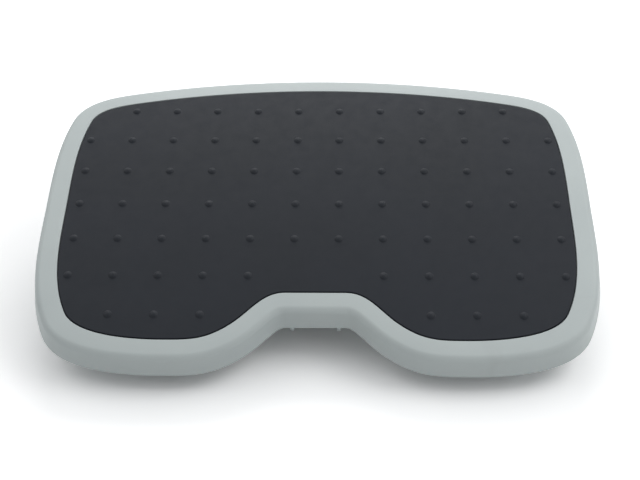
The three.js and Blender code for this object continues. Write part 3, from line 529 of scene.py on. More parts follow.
def ring_at(distance):
    """The mat's edge moved out: more at the sides and front corners, less at the rear."""
    ring = offset(EDGE, distance)
    if distance <= 0:
        return ring
    out = ring - EDGE
    towards = out / np.linalg.norm(out, axis=1)[:, None]
    sideways = np.maximum(0, np.sign(EDGE[:, 0]) * towards[:, 0])
    extra = sideways * (SIDE_SPREAD * sideways + CORNER_SPREAD * np.maximum(0, -towards[:, 1]))
    extra += REAR_SPREAD * np.maximum(0, towards[:, 1]) ** 2
    return ring + out * extra[:, None]


def depth_inside(points, outline):
    """How far plan points lie inside an outline, negative outside it."""
    points = np.array(points, float)[:, None, :]
    start, end = outline[None], np.roll(outline, -1, axis=0)[None]
    side = end - start
    share = np.clip(np.sum((points - start) * side, axis=2) / np.sum(side * side, axis=2), 0, 1)
    near = np.min(np.linalg.norm(points - start - share[..., None] * side, axis=2), axis=1)
    spans = (start[..., 1] > points[..., 1]) != (end[..., 1] > points[..., 1])
    rise = np.where(spans, side[..., 1], 1.0)
    meets = start[..., 0] + (points[..., 1] - start[..., 1]) / rise * side[..., 0]
    odd = np.sum(spans & (points[..., 0] < meets), axis=1) % 2
    return np.where(odd == 1, near, -near)


def cap(ring, spacing, circles=()):
    """Triangles inside a closed plan outline, with grid points in it and holes for circles."""
    points = [tuple(point) for point in ring]
    loops = [(0, len(points))]
    for circle in circles:
        loops.append((len(points), len(circle)))
        points += [tuple(point) for point in circle]
    edges = [
        (start + order, start + (order + 1) % size) for start, size in loops for order in range(size)
    ]
    ring = np.array(ring)
    low, high = ring.min(0), ring.max(0)
    grid = np.array([
        (x, y)
        for x in np.arange(low[0] + spacing / 2, high[0], spacing)
        for y in np.arange(low[1] + spacing / 2, high[1], spacing)
    ])
    grid = grid[depth_inside(grid, ring) > spacing / 2]
    for start, size in loops[1:]:
        middle = np.mean(points[start:start + size], axis=0)
        reach = np.linalg.norm(np.array(points[start]) - middle) + spacing / 6
        grid = grid[np.linalg.norm(grid - middle, axis=1) > reach]
    points += [tuple(point) for point in grid]
    result = delaunay_2d_cdt([Vector(point) for point in points], edges, [], 1, 1e-7, True)
    places = np.array(points)
    faces = [[result[3][corner][0] for corner in face] for face in result[2]]
    middles = np.array([places[face].mean(axis=0) for face in faces])
    within = depth_inside(middles, ring) > 0
    for start, size in loops[1:]:
        middle = places[start:start + size].mean(axis=0)
        reach = np.linalg.norm(places[start] - middle)
        within &= np.linalg.norm(middles - middle, axis=1) > reach * math.cos(math.pi / size)
    faces = [face if area(places[face]) > 0 else face[::-1] for face, kept in zip(faces, within) if kept]
    return places, faces, loops


def crowned_loft(rings, spacing, domes=()):
    """A closed solid through rings of the mat's outline, each at an offset and a height below
    the crown. Domes stand on the last ring's cap, which follows the crown as the first does."""
    count = len(EDGE)
    verts, faces = [], []
    for out, height in rings:
        verts += [(x, y, height + crown(y)) for x, y in ring_at(out)]
    for ring in range(len(rings) - 1):
        faces += strip(ring * count, count, count)
    for at, flip in ((0, True), (len(rings) - 1, False)):
        out, height = rings[at]
        foot = DOME_RINGS[0][0]
        circles = [] if flip else [arc(place, foot, 0, TURN, DOME_SIDES)[:-1] for place in domes]
        places, triangles, loops = cap(ring_at(out), spacing, circles)
        base = len(verts) - count
        verts += [(x, y, height + crown(y)) for x, y in places[count:]]
        for triangle in triangles:
            corners = [at * count + corner if corner < count else base + corner for corner in triangle]
            faces.append(tuple(corners[::-1] if flip else corners))
        for (start, size), (x, y) in zip(loops[1:], [] if flip else domes):
            below = base + start
            for radius, rise in DOME_RINGS[1:]:
                faces += strip(below, size, len(verts) - below)
                below = len(verts)
                circle = arc((x, y), radius, 0, TURN, size)[:-1]
                verts += [(px, py, height + crown(py) + rise) for px, py in circle]
            verts.append((x, y, height + crown(y) + DOME_HEIGHT))
            for step in range(size):
                faces.append((below + step, below + (step + 1) % size, len(verts) - 1))
    return new_object("loft", verts, faces)


def rounded(centre_out, centre_height, radius, start, end, steps):
    """Offsets and heights round a quarter or less, from heading start to end in degrees."""
    rings = []
    for step in range(steps + 1):
        angle = math.radians(start + (end - start) * step / steps)
        rings.append((centre_out + radius * math.cos(angle), centre_height + radius * math.sin(angle)))
    return rings


# ---------------------------------------------------------------- platform pieces, drawn on the deck
def shell_rings():
    """From the underside out over the lip, up the skirt, over the rim and down into the pocket."""
    inner = SKIRT_OUTER - SKIRT_WALL
    rings = [(RIM_OUTER - SKIRT_WALL - SKIRT_FILLET, PLATE_UNDER)]
    rings += rounded(RIM_OUTER - SKIRT_WALL - SKIRT_FILLET, PLATE_UNDER - SKIRT_FILLET,
                     SKIRT_FILLET, 75, 0, 4)
    rings += rounded(inner + SKIRT_LIP, SKIRT_LIP - SKIRT_HEIGHT, SKIRT_LIP, 180, 270, 3)
    rings += rounded(SKIRT_OUTER - SKIRT_LIP, SKIRT_LIP - SKIRT_HEIGHT, SKIRT_LIP, 270, 360, 4)
    rings += rounded(GROOVE + RIM_WIDTH, -RIM_FALL - RIM_RADIUS, RIM_RADIUS, 0, 86, 12)
    share = (0.75, 0.5, 0.25)
    rings += [(GROOVE + RIM_EASE + (RIM_WIDTH - RIM_EASE) * at, -RIM_FALL * at ** 2) for at in share]
    rings += rounded(GROOVE + RIM_EASE, -RIM_EASE, RIM_EASE, 90, 180, 5)
    rings.append((GROOVE, -POCKET_DEPTH))
    return rings


def shell_frame():
    """Ribs, hangers, webs and lug toes under the plate."""
    reach = MAT_HALF_WIDTH + SKIRT_OUTER
    depth = MAT_HALF_DEPTH + SKIRT_OUTER
    parts = []
    outer_row, middle_row = (share * MAT_HALF_DEPTH for share in RIB_ROW_SHARES)
    rows = ((outer_row, 0.0), (WEB_REAR - RIB, 0.0), (-middle_row, WEB_X), (-outer_row, LOBE_RIB_X))
    for y, start in rows:
        top = crown(y) + PLATE_UNDER + WELD
        low = crown(y) - RIB_DEPTH
        spans = [(-reach, reach)] if start == 0 else [(-reach, -start), (start, reach)]
        for span in spans:
            parts.append(block(span, (y - RIB / 2, y + RIB / 2), (low, top)))
    strip = crown_line(-depth, depth, RIB_DEPTH) + crown_line(depth, -depth, -PLATE_UNDER - WELD)
    for x in (HANGER_X, LONG_RIB_X):
        for side in (-1, 1):
            parts.append(plate(strip, side * x - RIB / 2, side * x + RIB / 2))
    foot = PLATE_UNDER + WELD
    start = touching((-HANGER_FOOT, foot), AXLE, HANGER_RADIUS, 1)
    end = touching((HANGER_FOOT, foot), AXLE, HANGER_RADIUS, -1) + TURN
    hanger = [(HANGER_FOOT, foot), (-HANGER_FOOT, foot)] + arc(AXLE, HANGER_RADIUS, start, end, 24)
    heel = (PEDAL_PIN[0] + LUG_RADIUS + WEB_RISE, -WEB_DEPTH)
    lug_end = touching(heel, PEDAL_PIN, LUG_RADIUS, -1) + TURN
    keel = -AXLE_DEPTH - KEEL_BELOW
    web = arc(PEDAL_PIN, LUG_RADIUS, math.pi, lug_end, 20) + [
        heel,
        (-KEEL_FRONT - WEB_RISE / 2, -WEB_DEPTH),
        (-KEEL_FRONT, keel),
        (KEEL_REAR - WEB_RISE / 2, keel),
        (KEEL_REAR, keel + WEB_RISE / 2),
        (KEEL_REAR + WEB_RISE / 2, -WEB_DEPTH),
        (WEB_REAR, -RIB_DEPTH),
    ] + crown_line(WEB_REAR, PEDAL_PIN[0] - LUG_RADIUS, -PLATE_UNDER - WELD)
    toe_front = PEDAL_PIN[0] - LUG_RADIUS - LUG_SETBACK - SKIRT_WALL / 2
    toe_low = crown(APRON_INNER) - SKIRT_HEIGHT + SKIRT_LIP
    for side in (-1, 1):
        middle = side * HANGER_X
        parts.append(plate(hanger, middle - HANGER / 2, middle + HANGER / 2, BOSS_EASE))
        span = side * WEB_X - WEB / 2, side * WEB_X + WEB / 2
        parts.append(plate(web, *span, WEB_EASE))
        toe_high = crown(APRON_INNER) + foot
        parts.append(block(span, (toe_front, PEDAL_PIN[0]), (toe_low, toe_high)))
    return parts


def platform_shell():
    shell = crowned_loft(shell_rings(), SHELL_GRID)
    low, high = SKIRT_OUTER - SKIRT_WALL / 2, RIM_OUTER - SKIRT_WALL / 2
    keep = crowned_loft([
        (low, -2 * SKIRT_HEIGHT - OVER), (low, -SKIRT_HEIGHT),
        (high, PLATE_UNDER - SKIRT_FILLET), (high, -POCKET_DEPTH - WELD),
    ], KEEP_GRID)
    first, *others = shell_frame()
    ribs = combine(join(first, *others), [keep], "INTERSECT")
    outer = WEB_OUTER + OVER
    return cut(
        join(shell, ribs),
        bar(AXLE, AXLE_RADIUS + GAP, -HANGER_OUTER - OVER, HANGER_OUTER + OVER),
        bar(STOP_PIN, STOP_PIN_RADIUS + GAP, -outer, outer),
        bar(BRAKE_PIN, BRAKE_PIN_RADIUS + GAP, -outer, outer),
        bar(PEDAL_PIN, PEDAL_PIN_RADIUS + GAP, -outer, outer),
    )


def dome_places():
    columns = np.arange(DOME_PITCH / 2, MAT_HALF_WIDTH, DOME_PITCH)
    rows = np.arange(MAT_HALF_DEPTH - DOME_REAR_INSET, -MAT_HALF_DEPTH, -DOME_PITCH)
    places = np.array([(x, y) for y in rows for x in columns])
    bare = (places[:, 0] < BARE_HALF_WIDTH) & (places[:, 1] < NOTCH_EDGE + BARE_DEPTH)
    places = places[(depth_inside(places, EDGE) > DOME_EDGE_INSET) & ~bare]
    return [tuple(place) for place in places] + [(-x, y) for x, y in places]


def foot_mat():
    top = MAT_THICKNESS - POCKET_DEPTH + GAP
    low, lip = GAP - POCKET_DEPTH, GAP - POCKET_DEPTH + FLANGE
    rings = [(FLANGE_OUT - GAP, low), (FLANGE_OUT, low + GAP), (FLANGE_OUT, lip), (0.0, lip)]
    rings += rounded(-MAT_EASE, top - MAT_EASE, MAT_EASE, 0, 90, 4)
    rings.append((-MAT_BORDER, top))
    return crowned_loft(rings, MAT_GRID, dome_places())


def pin(centre, radius, half):
    """A pin with a domed head at its right end."""
    head = half + PIN_HEAD
    return lathe([
        (0, -half), (radius - 0.5, -half), (radius, 0.5 - half), (radius, half),
        (PIN_HEAD_RADIUS - 0.2, half), (PIN_HEAD_RADIUS, half + 0.2), (PIN_HEAD_RADIUS, half + 0.7),
        (PIN_HEAD_RADIUS - 0.5, head - 0.3), (PIN_HEAD_RADIUS - 1.4, head), (0, head),
    ], about(centre), 40)


def axle_rod():
    inner = CHEEK_OUTER + GAP
    outer = inner + RING + GAP
    end = outer + AXLE_TAIL
    groove = AXLE_RADIUS - RING_GROOVE
    half = [
        (AXLE_RADIUS, inner), (groove, inner), (groove, outer), (AXLE_RADIUS, outer),
        (AXLE_RADIUS, end - 0.8), (AXLE_RADIUS - 0.25, end - 0.3), (AXLE_RADIUS - 0.8, end), (0, end),
    ]
    return lathe([(radius, -x) for radius, x in reversed(half)] + half, about(AXLE), 56)


def retaining_ring(side):
    bore = AXLE_RADIUS - RING_GROOVE + GAP
    start, end = RING_MOUTH - math.pi / 2, math.pi * 1.5 - RING_MOUTH
    inner = CHEEK_OUTER + 1.5 * GAP
    outline = band(AXLE, bore, RING_RADIUS, start, end, 40)
    return plate(outline, side * inner, side * (inner + RING), RING_EASE)


def friction_washer(side):
    low, high = sorted((side * (HANGER_OUTER + GAP), side * (HANGER_OUTER + GAP + WASHER)))
    bore = AXLE_RADIUS + GAP
    return lathe([
        (bore, low), (WASHER_RADIUS - 0.3, low), (WASHER_RADIUS, low + 0.3),
        (WASHER_RADIUS, high - 0.3), (WASHER_RADIUS - 0.3, high), (bore, high),
    ], about(AXLE))


def axle_bush(side):
    face = CHEEK_INNER - GAP - BUSH_FLANGE
    bore = AXLE_RADIUS + GAP
    profile = [
        (bore + 0.3, face), (BUSH_FLANGE_RADIUS - 0.3, face), (BUSH_FLANGE_RADIUS, face + 0.3),
        (BUSH_FLANGE_RADIUS, face + BUSH_FLANGE), (BUSH_RADIUS, face + BUSH_FLANGE),
        (BUSH_RADIUS, CHEEK_OUTER - 0.4), (BUSH_RADIUS - 0.4, CHEEK_OUTER), (bore, CHEEK_OUTER),
        (bore, face + 0.3),
    ]
    return lathe([(radius, side * x) for radius, x in profile], about((0, 0)))


def tilt_sector():
    centre = np.zeros(2)
    rim_from = math.pi + SHOE_DIP - BACKING_HALF
    rim_to = math.pi + SHOE_DIP + STEEPEST + BACKING_HALF
    low = FRAME_TOP + GAP - AXLE_HEIGHT
    high = low + SECTOR_FOOT
    slot_from = -STOP_PIN_DIP - STOP_SLACK
    slot_to = STEEPEST - STOP_PIN_DIP + STOP_SLACK
    ear = math.asin((EAR_RADIUS - STOP_PIN_DISTANCE) / STOP_PIN_DISTANCE)
    crest = math.pi / 2
    side = [(LEG_HALF, high)] + arc(centre, EAR_RADIUS, slot_from - ear, slot_to + ear)
    side += arc(centre, HUB_RADIUS, crest - HUB_CREST, crest + HUB_CREST)
    side += arc(centre, SECTOR_RADIUS, rim_from, rim_to, 28)
    side += [(-LEG_HALF, high), (-LEG_HALF, low + 1), (LEG_HALF, low + 1)]
    window = band(
        centre, HUB_RADIUS + WINDOW_INSET, SECTOR_RADIUS - SECTOR_RIM - WINDOW_INSET / 2,
        rim_from + BACKING_HALF / 2, rim_to - BACKING_HALF / 2,
    )
    radius = STOP_PIN_RADIUS + GAP
    slot = arc(centre, STOP_PIN_DISTANCE + radius, slot_from, slot_to)
    slot += arc(polar(centre, STOP_PIN_DISTANCE, slot_to), radius, slot_to, slot_to + math.pi)[1:]
    slot += arc(centre, STOP_PIN_DISTANCE - radius, slot_to, slot_from)[1:]
    slot_foot = polar(centre, STOP_PIN_DISTANCE, slot_from)
    slot += arc(slot_foot, radius, slot_from + math.pi, slot_from + TURN)[1:-1]
    half = SECTOR_WEB / 2
    rim = band(centre, SECTOR_RADIUS - SECTOR_RIM, SECTOR_RADIUS, rim_from, rim_to, 40)
    foot = corners((-SECTOR_FOOT_HALF, SECTOR_FOOT_HALF), (-SECTOR_FOOT_DEPTH, SECTOR_FOOT_DEPTH))
    gusset = [(-SECTOR_FOOT_HALF + 1, high - 1), (SECTOR_FOOT_HALF - 1, high - 1),
              (half, high / 2), (-half, high / 2)]
    body = join(
        plate(side, -half, half, WEB_EASE, (window, slot)),
        plate(rim, -SECTOR_RIM_WIDTH / 2, SECTOR_RIM_WIDTH / 2, ARM_EASE),
        bar(centre, HUB_RADIUS, -HUB_HALF, HUB_HALF, BOSS_EASE),
        prism(foot, low, high, upright, BOSS_EASE),
        prism(gusset, -SECTOR_GUSSET / 2, SECTOR_GUSSET / 2, along_y, ARM_EASE),
    )
    holes = [post(x, y, SHANK + GAP, low - OVER, high + OVER) for x, y in SCREWS]
    return cut(body, bar(centre, AXLE_RADIUS + GAP, -HUB_HALF - OVER, HUB_HALF + OVER), *holes)


def sector_screw(place):
    seat = FRAME_TOP + SECTOR_FOOT + 2 * GAP
    top = seat + SCREW_HEAD_HEIGHT
    low = seat - SCREW_LENGTH
    screw = lathe([
        (0, low), (SHANK / 2, low), (SHANK, low + SHANK), (SHANK, seat), (SCREW_HEAD - 0.2, seat),
        (SCREW_HEAD, seat + 0.3), (SCREW_HEAD - 0.1, seat + 0.9), (SCREW_HEAD - 0.5, seat + 1.4),
        (SCREW_HEAD - 1.2, top - 0.15), (SCREW_HEAD - 2.0, top), (0, top),
    ], standing(*place), 40)
    x, y = place
    return cut(screw, *(
        block((x - wide, x + wide), (y - deep, y + deep), (top - CROSS_DEPTH, top + 1))
        for wide, deep in ((CROSS_REACH, CROSS_HALF), (CROSS_HALF, CROSS_REACH))
    ))


def brake_arm():
    heading = math.pi + SHOE_DIP
    seat = SECTOR_RADIUS + SHOE + 2 * GAP
    outer = seat + BACKING
    backing = band(AXLE, seat, outer, heading - BACKING_HALF, heading + BACKING_HALF)
    middle = polar(AXLE, (seat + outer) / 2, heading)
    tail, wide = BRAKE_TAIL / 2, SHOE_WIDTH / 2
    boss = WEB_INNER - SIDE_CLEARANCE
    body = join(
        bar(BRAKE_PIN, BRAKE_BOSS, -boss, boss, WEB_EASE),
        plate(capsule(BRAKE_PIN, PEG, BRAKE_TAIL_RADIUS), -tail, tail, ARM_EASE),
        bar(PEG, FORK_RADIUS, -tail, tail, ARM_EASE),
        plate(capsule(BRAKE_PIN, middle, BRAKE_TAIL_RADIUS), -wide, wide, ARM_EASE),
        plate(backing, -wide, wide, ARM_EASE),
    )
    towards = PEDAL_PIN - PEG
    mouth = PEG + towards / np.linalg.norm(towards) * (FORK_RADIUS + OVER)
    return cut(
        body,
        plate(capsule(PEG, mouth, PEG_RADIUS + FORK_CLEARANCE), -tail - OVER, tail + OVER),
        bar(AXLE, seat, -wide - OVER, wide + OVER, 0, 160),
        bar(BRAKE_PIN, BRAKE_PIN_RADIUS + GAP, -boss - OVER, boss + OVER),
    )


def brake_shoe():
    heading = math.pi + SHOE_DIP
    face = SECTOR_RADIUS + GAP
    outline = band(AXLE, face, face + SHOE, heading - SHOE_HALF, heading + SHOE_HALF)
    return plate(outline, -SHOE_WIDTH / 2, SHOE_WIDTH / 2, SHOE_EASE)


def release_pedal():
    half = WEB_INNER - SIDE_CLEARANCE
    inner = BRAKE_TAIL / 2 + SIDE_CLEARANCE
    outer = inner + PEDAL_ARM
    pad, stem = SPRING_PAD / 2, SPRING_STEM / 2
    pad_low = SPRING_PAD_TOP - SPRING_STEM
    arm = capsule(PEDAL_PIN, PEG, PEDAL_ARM_RADIUS)
    body = join(
        bar(PEDAL_PIN, PEDAL_BOSS, -half, half, WEB_EASE),
        plate(capsule(PEDAL_PIN, PADDLE_END, PADDLE_RADIUS), -half, half, ARM_EASE),
        plate(arm, -inner, -outer, ARM_EASE),
        plate(arm, inner, outer, ARM_EASE),
        bar(PEG, PEG_RADIUS, -outer, outer),
        block((-outer, outer), (SPRING_Y - pad, SPRING_Y + pad), (pad_low, SPRING_PAD_TOP)),
        block((-outer, outer), (SPRING_Y - stem, SPRING_Y + stem), (PEDAL_PIN[1], SPRING_PAD_TOP)),
    )
    return cut(body, bar(PEDAL_PIN, PEDAL_PIN_RADIUS + GAP, -half - OVER, half + OVER))


def pedal_tread():
    along = (PADDLE_END - PEDAL_PIN) / np.linalg.norm(PADDLE_END - PEDAL_PIN)
    forward = np.array((along[1], -along[0]))
    back = PADDLE_RADIUS + GAP
    front = back + TREAD
    start, end = PEDAL_BOSS + TREAD_INSET / 2, PADDLE

    def place(distance, out):
        return PEDAL_PIN + along * distance + forward * out

    points = [place(start, back), place(start, front)]
    third = (end - start) / 3
    for rib in range(3):
        middle = start + third * (rib + 0.5)
        points += [place(middle + third * 0.2 * math.sin(angle), front + TREAD_RIB * math.cos(angle))
                   for angle in np.linspace(-math.pi / 2, math.pi / 2, 9)]
    points += [place(end, front), place(end, back)]
    half = WEB_INNER - SIDE_CLEARANCE - TREAD_INSET
    return plate(points, -half, half)


def pedal_spring():
    low = SPRING_PAD_TOP + GAP + SPRING_WIRE
    high = crown(SPRING_Y) + PLATE_UNDER - GAP - SPRING_WIRE
    steps, sides = SPRING_COILS * COIL_STEPS, WIRE_SIDES
    verts, faces = [], []
    for step in range(steps + 1):
        turn = TURN * SPRING_COILS * step / steps
        out = np.array((math.cos(turn), math.sin(turn), 0))
        middle = out * SPRING_RADIUS + (0, SPRING_Y, low + (high - low) * step / steps)
        for side in range(sides):
            angle = TURN * side / sides
            rise = (0, 0, SPRING_WIRE * math.sin(angle))
            verts.append(middle + out * SPRING_WIRE * math.cos(angle) + rise)
    for step in range(steps):
        faces += strip(step * sides, sides, sides)
    faces += [tuple(reversed(range(sides))), tuple(range(steps * sides, (steps + 1) * sides))]
    return new_object("spring", verts, faces)


# ---------------------------------------------------------------- base pieces, drawn on the floor
def frame_outline():
    inner, outer = RAIL_X - RAIL_HALF, RAIL_X + RAIL_HALF
    waist = math.asin(RAIL_HALF / PAD_RADIUS)
    corner = (inner - BRIDGE_FILLET, BRIDGE_HALF + BRIDGE_FILLET)
    rear = arc(corner, BRIDGE_FILLET, -math.pi / 2, 0, 14)
    rear += arc((RAIL_X, PAD_Y), PAD_RADIUS, math.pi * 1.5 - waist, waist - math.pi / 2, 44)
    rear = np.array(rear)
    right = np.vstack((rear, rear[::-1] * (1, -1)))
    return turned_to(np.vstack((right, right[::-1] * (-1, 1))), 1)


def frame_hollow(outline):
    ceiling = FRAME_TOP - FRAME_WALL
    rings = [(-FRAME_WALL, FOOT_PROUD - OVER)]
    rings += rounded(-FRAME_WALL - FRAME_ROUND / 2, ceiling - FRAME_ROUND / 2, FRAME_ROUND / 2, 0, 90, 4)
    half = FRAME_RIB / 2
    low = FOOT_PROUD - 2 * OVER
    keep = []
    for share in RAIL_RIBS:
        for x in (-1, 1):
            for y in (-share * PAD_Y, share * PAD_Y):
                span = sorted((x * (RAIL_X - RAIL_HALF), x * (RAIL_X + RAIL_HALF)))
                keep.append(block(span, (y - half, y + half), (low, FRAME_TOP)))
    for share in BRIDGE_RIBS:
        for x in (-share * RAIL_X, share * RAIL_X):
            keep.append(block((x - half, x + half), (-BRIDGE_HALF, BRIDGE_HALF), (low, FRAME_TOP)))
    keep.append(block((RAIL_HALF - RAIL_X, RAIL_X - RAIL_HALF), (-half, half), (low, FRAME_TOP)))
    keep += [post(x, y, FOOT_BOSS, low, FRAME_TOP, 72) for x, y in PADS]
    keep += [post(x, y, SCREW_BOSS, low, FRAME_TOP) for x, y in SCREWS]
    return cut(stack([outline], rings, upright), *keep)


def cheek(side):
    centre = np.array((0.0, AXLE_HEIGHT))
    low = FRAME_TOP - WELD
    start = touching((CHEEK_FOOT, low), centre, CHEEK_TOP, 1)
    end = touching((-CHEEK_FOOT, low), centre, CHEEK_TOP, -1) + TURN
    outline = [(-CHEEK_FOOT, low), (CHEEK_FOOT, low)] + arc(centre, CHEEK_TOP, start, end, 32)
    window = arc((0, FRAME_TOP + CHEEK_WINDOW_RISE), CHEEK_WINDOW, 0, TURN, 40)[:-1]
    root = CHEEK_OUTER - WELD
    gusset = [(side * root, low), (side * (root + GUSSET_REACH), low),
              (side * root, AXLE_HEIGHT - GUSSET_DROP)]
    gussets = []
    for end_side in (-1, 1):
        middle = -end_side * (CHEEK_FOOT - 2 * GUSSET) / 2
        gussets.append(prism(gusset, middle - GUSSET / 2, middle + GUSSET / 2, along_y, WEB_EASE))
    wall = plate(outline, side * CHEEK_INNER, side * CHEEK_OUTER, CHEEK_EASE, (window,))
    return join(wall, *gussets)


def base_frame():
    outline = frame_outline()
    rings = [(-FOOT_EASE, FOOT_PROUD), (-0.3, FOOT_PROUD + 0.3), (0.0, FOOT_PROUD + FOOT_EASE)]
    rings += rounded(-FRAME_ROUND, FRAME_TOP - FRAME_ROUND, FRAME_ROUND, 0, 90, 8)
    reach = CHEEK_OUTER + OVER
    seats = [post(x, y, FOOT_RADIUS + GAP, FOOT_PROUD - OVER, FOOT_PROUD + FOOT_SEAT, 72)
             for x, y in PADS]
    pilots = [post(x, y, SHANK + GAP, FOOT_PROUD - OVER, FRAME_TOP + OVER) for x, y in SCREWS]
    body = cut(stack([outline], rings, upright), frame_hollow(outline))
    body = join(body, cheek(-1), cheek(1))
    return cut(body, bar((0, AXLE_HEIGHT), BUSH_RADIUS + GAP, -reach, reach), *seats, *pilots)


def rubber_foot(place):
    top = FOOT_PROUD + FOOT_SEAT - GAP
    half = FOOT_RADIUS / 2
    profile = [(0, 0.5), (half, 0.5), (half + 0.4, 0.35), (half + FOOT_EASE, 0)]
    for groove in (10.0, 12.0):
        profile += [(groove - 0.5, 0), (groove - 0.2, 0.5), (groove + 0.2, 0.5), (groove + 0.5, 0)]
    profile += [(FOOT_RADIUS - 1, 0), (FOOT_RADIUS - 0.4, 0.2), (FOOT_RADIUS, 0.8),
                (FOOT_RADIUS, top - 0.3), (FOOT_RADIUS - 0.3, top), (0, top)]
    return lathe(profile, standing(*place), 72)


# ---------------------------------------------------------------- materials
class Shader:
    """Builds the nodes of one material, or of a world."""

    def __init__(self, name, world=False):
        self.owner = bpy.data.worlds.new(name) if world else bpy.data.materials.new(name)
        self.owner.use_nodes = True
        self.tree = self.owner.node_tree
        self.tree.nodes.clear()
        self.place = self.add("ShaderNodeTexCoord").outputs["Object"]

    def add(self, kind, **settings):
        made = self.tree.nodes.new(kind)
        for key, value in settings.items():
            setattr(made, key, value)
        return made

    def feed(self, made, **inputs):
        for key, value in inputs.items():
            socket = made.inputs[int(key[1:]) if key[0] == "_" else key.replace("_", " ")]
            if isinstance(value, bpy.types.NodeSocket):
                self.tree.links.new(value, socket)
            else:
                socket.default_value = value
        return made

    def noise(self, scale, detail=2.0, roughness=0.5, stretch=None, distortion=0.0):
        vector = self.place
        if stretch:
            vector = self.feed(self.add("ShaderNodeMapping"), Vector=self.place, Scale=stretch).outputs[0]
        made = self.feed(self.add("ShaderNodeTexNoise"), Vector=vector, Scale=scale, Detail=detail,
                         Roughness=roughness, Distortion=distortion)
        return made.outputs["Fac"]

    def ramp(self, value, low, high, out_low=0.0, out_high=1.0):
        made = self.add("ShaderNodeMapRange")
        return self.feed(made, Value=value, _1=low, _2=high, _3=out_low, _4=out_high).outputs[0]

    def math(self, operation, first, second):
        return self.feed(self.add("ShaderNodeMath", operation=operation), _0=first, _1=second).outputs[0]

    def mix(self, share, first, second):
        made = self.add("ShaderNodeMix", data_type="RGBA")
        return self.feed(made, _0=share, _6=first, _7=second).outputs[2]

    def blend(self, share, first, second):
        made = self.add("ShaderNodeMixShader")
        return self.feed(made, _0=share, _1=first.outputs[0], _2=second.outputs[0])

    def bump(self, layers):
        normal = None
        for height, strength, distance in layers:
            made = self.add("ShaderNodeBump")
            self.feed(made, Height=height, Strength=strength, Distance=distance)
            if normal is not None:
                self.tree.links.new(normal, made.inputs["Normal"])
            normal = made.outputs[0]
        return normal

    def output(self, surface, kind="Material"):
        self.feed(self.add("ShaderNodeOutput" + kind), Surface=surface.outputs[0])
        return self.owner

    def finish(self, colour, roughness, normal, **fixed):
        made = self.add("ShaderNodeBsdfPrincipled")
        self.feed(made, Base_Color=colour, Roughness=roughness, Normal=normal, **fixed)
        return self.output(made)


def rgb(red, green, blue):
    """Linear colour of an sRGB colour of 0 to 255."""
    channels = [value / 255 for value in (red, green, blue)]
    return tuple(c / 12.92 if c <= 0.04045 else ((c + 0.055) / 1.055) ** 2.4 for c in channels) + (1.0,)


def moulded_grey():
    """Satin grey plastic: spark-eroded grain, faint flow and cooling shades, worn and scuffed edges."""
    s = Shader("moulded_grey")
    broad = s.ramp(s.noise(9, 3, 0.55), 0.3, 0.7)
    colour = s.mix(broad, rgb(182, 190, 190), rgb(189, 197, 196))
    specks = s.ramp(s.noise(900, 2, 0.6), 0.62, 0.8, 0.0, 0.35)
    colour = s.mix(specks, colour, rgb(168, 176, 178))
    smudge = s.ramp(s.noise(26, 5, 0.65, distortion=0.6), 0.58, 0.8, 0.0, 0.22)
    colour = s.mix(smudge, colour, rgb(166, 171, 170))
    worn = s.ramp(s.add("ShaderNodeNewGeometry").outputs["Pointiness"], 0.52, 0.62, 0.0, 0.35)
    worn = s.math("MULTIPLY", worn, s.ramp(s.noise(140, 4, 0.7), 0.4, 0.65))
    colour = s.mix(worn, colour, rgb(205, 211, 212))
    streaks = s.ramp(s.noise(60, 6, 0.7, (1.0, 9.0, 9.0)), 0.6, 0.75, 0.0, 0.09)
    rough = s.math("ADD", s.ramp(s.noise(240, 4, 0.6), 0.3, 0.7, 0.46, 0.56), streaks)
    normal = s.bump([
        (s.noise(2600, 3, 0.65), 0.22, 0.00006),
        (s.noise(520, 2, 0.5), 0.12, 0.00008),
        (s.noise(34, 2, 0.5), 0.06, 0.0004),
    ])
    return s.finish(colour, rough, normal, Specular_IOR_Level=0.42)


def mat_rubber():
    """Charcoal rubber: fine leathery grain, mould bloom and dust."""
    s = Shader("mat_rubber")
    broad = s.ramp(s.noise(9, 3, 0.5), 0.34, 0.68)
    colour = s.mix(broad, rgb(26, 30, 36), rgb(29, 33, 40))
    bloom = s.ramp(s.noise(24, 4, 0.5), 0.5, 0.78, 0.0, 0.1)
    colour = s.mix(bloom, colour, rgb(42, 46, 52))
    fine = s.ramp(s.noise(1500, 3, 0.6), 0.35, 0.7, 0.0, 0.25)
    colour = s.mix(fine, colour, rgb(25, 28, 34))
    dust = s.ramp(s.noise(420, 5, 0.75), 0.66, 0.76, 0.0, 0.07)
    colour = s.mix(dust, colour, rgb(66, 68, 71))
    rough = s.ramp(s.noise(90, 5, 0.6), 0.3, 0.7, 0.52, 0.62)
    normal = s.bump([
        (s.noise(2200, 4, 0.7), 0.35, 0.00009),
        (s.noise(700, 2, 0.5), 0.16, 0.0001),
        (s.noise(45, 2, 0.5), 0.04, 0.0006),
    ])
    return s.finish(colour, rough, normal, Specular_IOR_Level=0.22)


